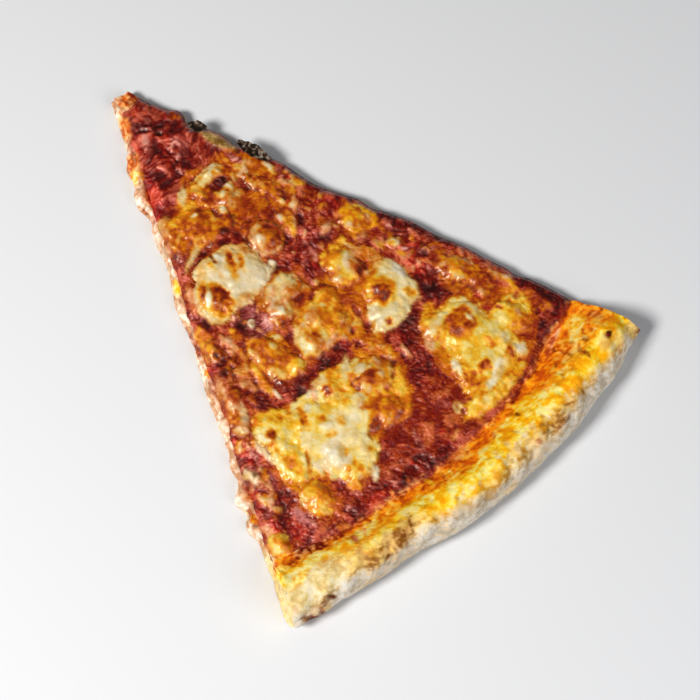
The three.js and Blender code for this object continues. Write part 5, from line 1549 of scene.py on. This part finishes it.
WARM = (1.0, 0.78, 0.5, 1.0)
PINK = (1.0, 0.42, 0.34, 1.0)
dough = food_material(
    "baked_dough", grain=1500.0, mottle=0.10, rough=(0.85, 0.55), bump_depth=0.00025,
    shine=(0.2, WARM), coat=0.0, scatter=(0.15, (1.0, 0.6, 0.3), 0.0012))
tomato = food_material(
    "tomato_sauce_wet", grain=1100.0, mottle=0.15, rough=(0.7, 0.25), bump_depth=0.00030,
    shine=(0.8, PINK), coat=0.14, scatter=(0.0, (1.0, 0.2, 0.1), 0.0010))
melted = food_material(
    "melted_cheese", grain=1100.0, mottle=0.06, rough=(0.45, 0.27), bump_depth=0.00022,
    shine=(0.5, WARM), coat=0.32, scatter=(0.15, (1.0, 0.7, 0.35), 0.0010))
burnt = food_material(
    "charred_leaf", grain=1800.0, mottle=0.30, rough=(0.8, 0.55), bump_depth=0.00020,
    shine=(0.3, WARM), coat=0.0, scatter=(0.0, (1.0, 1.0, 1.0), 0.001))

# The first patch's seed and the first leaf's, and how far each next one's is from it.
PATCH_SEEDS = (300, 40)
LEAF_SEEDS = (1200, 20)

crust_piece(dough)
sauce_piece(tomato)
for number, (node, patch) in enumerate(CHEESE.items()):
    cheese_piece(node, patch, PATCH_SEEDS[0] + PATCH_SEEDS[1] * number, melted)
for number, (node, leaf) in enumerate(LEAVES.items()):
    basil_piece(node, leaf, LEAF_SEEDS[0] + LEAF_SEEDS[1] * number, burnt)

# ---------------------------------------------------------------- floor, light and camera (m)

FLOOR_HALF = 1.5
FLOOR_DROP = 0.0002
FLOOR_TONE = (0.72, 0.73, 0.75, 1)
FLOOR_ROUGHNESS = 0.9
# Lights: place, size, power and tint.
KEY_LIGHT = ((-0.08, -0.62, 0.75), 0.28, 10.3, (1.0, 0.98, 0.95))
FILL_LIGHT = ((0.75, 0.15, 0.55), 0.60, 3.0, (0.95, 0.97, 1.0))
ROOM_TONE, ROOM_STRENGTH = (1.0, 1.0, 1.0, 1), 0.10
AZIMUTH = math.radians(48.8)
ELEVATION = math.radians(70.0)
DISTANCE = 0.557
AIM = Vector((0.02626, 0.00010, 0.0))
LENS = 85.0
SENSOR = 36.0
FARTHEST = 20.0

floor_mesh = bpy.data.meshes.new("floor")
corners = [(x * FLOOR_HALF, y * FLOOR_HALF, 0) for x, y in ((-1, -1), (1, -1), (1, 1), (-1, 1))]
floor_mesh.from_pydata(corners, [], [(0, 1, 2, 3)])
floor = bpy.data.objects.new("floor", floor_mesh)
bpy.context.scene.collection.objects.link(floor)
floor.location.z = -FLOOR_DROP
floor_look = bpy.data.materials.new("pale_floor")
floor_look.use_nodes = True
floor_shader = floor_look.node_tree.nodes["Principled BSDF"]
floor_shader.inputs["Base Color"].default_value = FLOOR_TONE
floor_shader.inputs["Roughness"].default_value = FLOOR_ROUGHNESS
floor_mesh.materials.append(floor_look)


def area_light(name, place, size, power, tint):
    """A round light that faces the middle of the slice."""
    data = bpy.data.lights.new(name, "AREA")
    data.shape = "DISK"
    data.size = size
    data.energy = power
    data.color = tint
    light = bpy.data.objects.new(name, data)
    light.location = place
    light.rotation_euler = (-Vector(place)).to_track_quat("-Z", "Y").to_euler()
    bpy.context.scene.collection.objects.link(light)


area_light("key", *KEY_LIGHT)
area_light("fill", *FILL_LIGHT)

world = bpy.data.worlds.new("soft_studio")
bpy.context.scene.world = world
world.use_nodes = True
background = world.node_tree.nodes["Background"]
background.inputs["Color"].default_value = ROOM_TONE
background.inputs["Strength"].default_value = ROOM_STRENGTH
bpy.context.scene.view_settings.view_transform = "Standard"

camera_data = bpy.data.cameras.new("camera")
camera_data.lens = LENS
camera_data.sensor_width = SENSOR
camera_data.clip_end = FARTHEST
camera = bpy.data.objects.new("camera", camera_data)
level = math.cos(ELEVATION)
back = Vector((math.sin(AZIMUTH) * level, -math.cos(AZIMUTH) * level, math.sin(ELEVATION)))
camera.location = AIM + back * DISTANCE
camera.rotation_euler = back.to_track_quat("Z", "Y").to_euler()
bpy.context.scene.collection.objects.link(camera)
bpy.context.scene.camera = camera
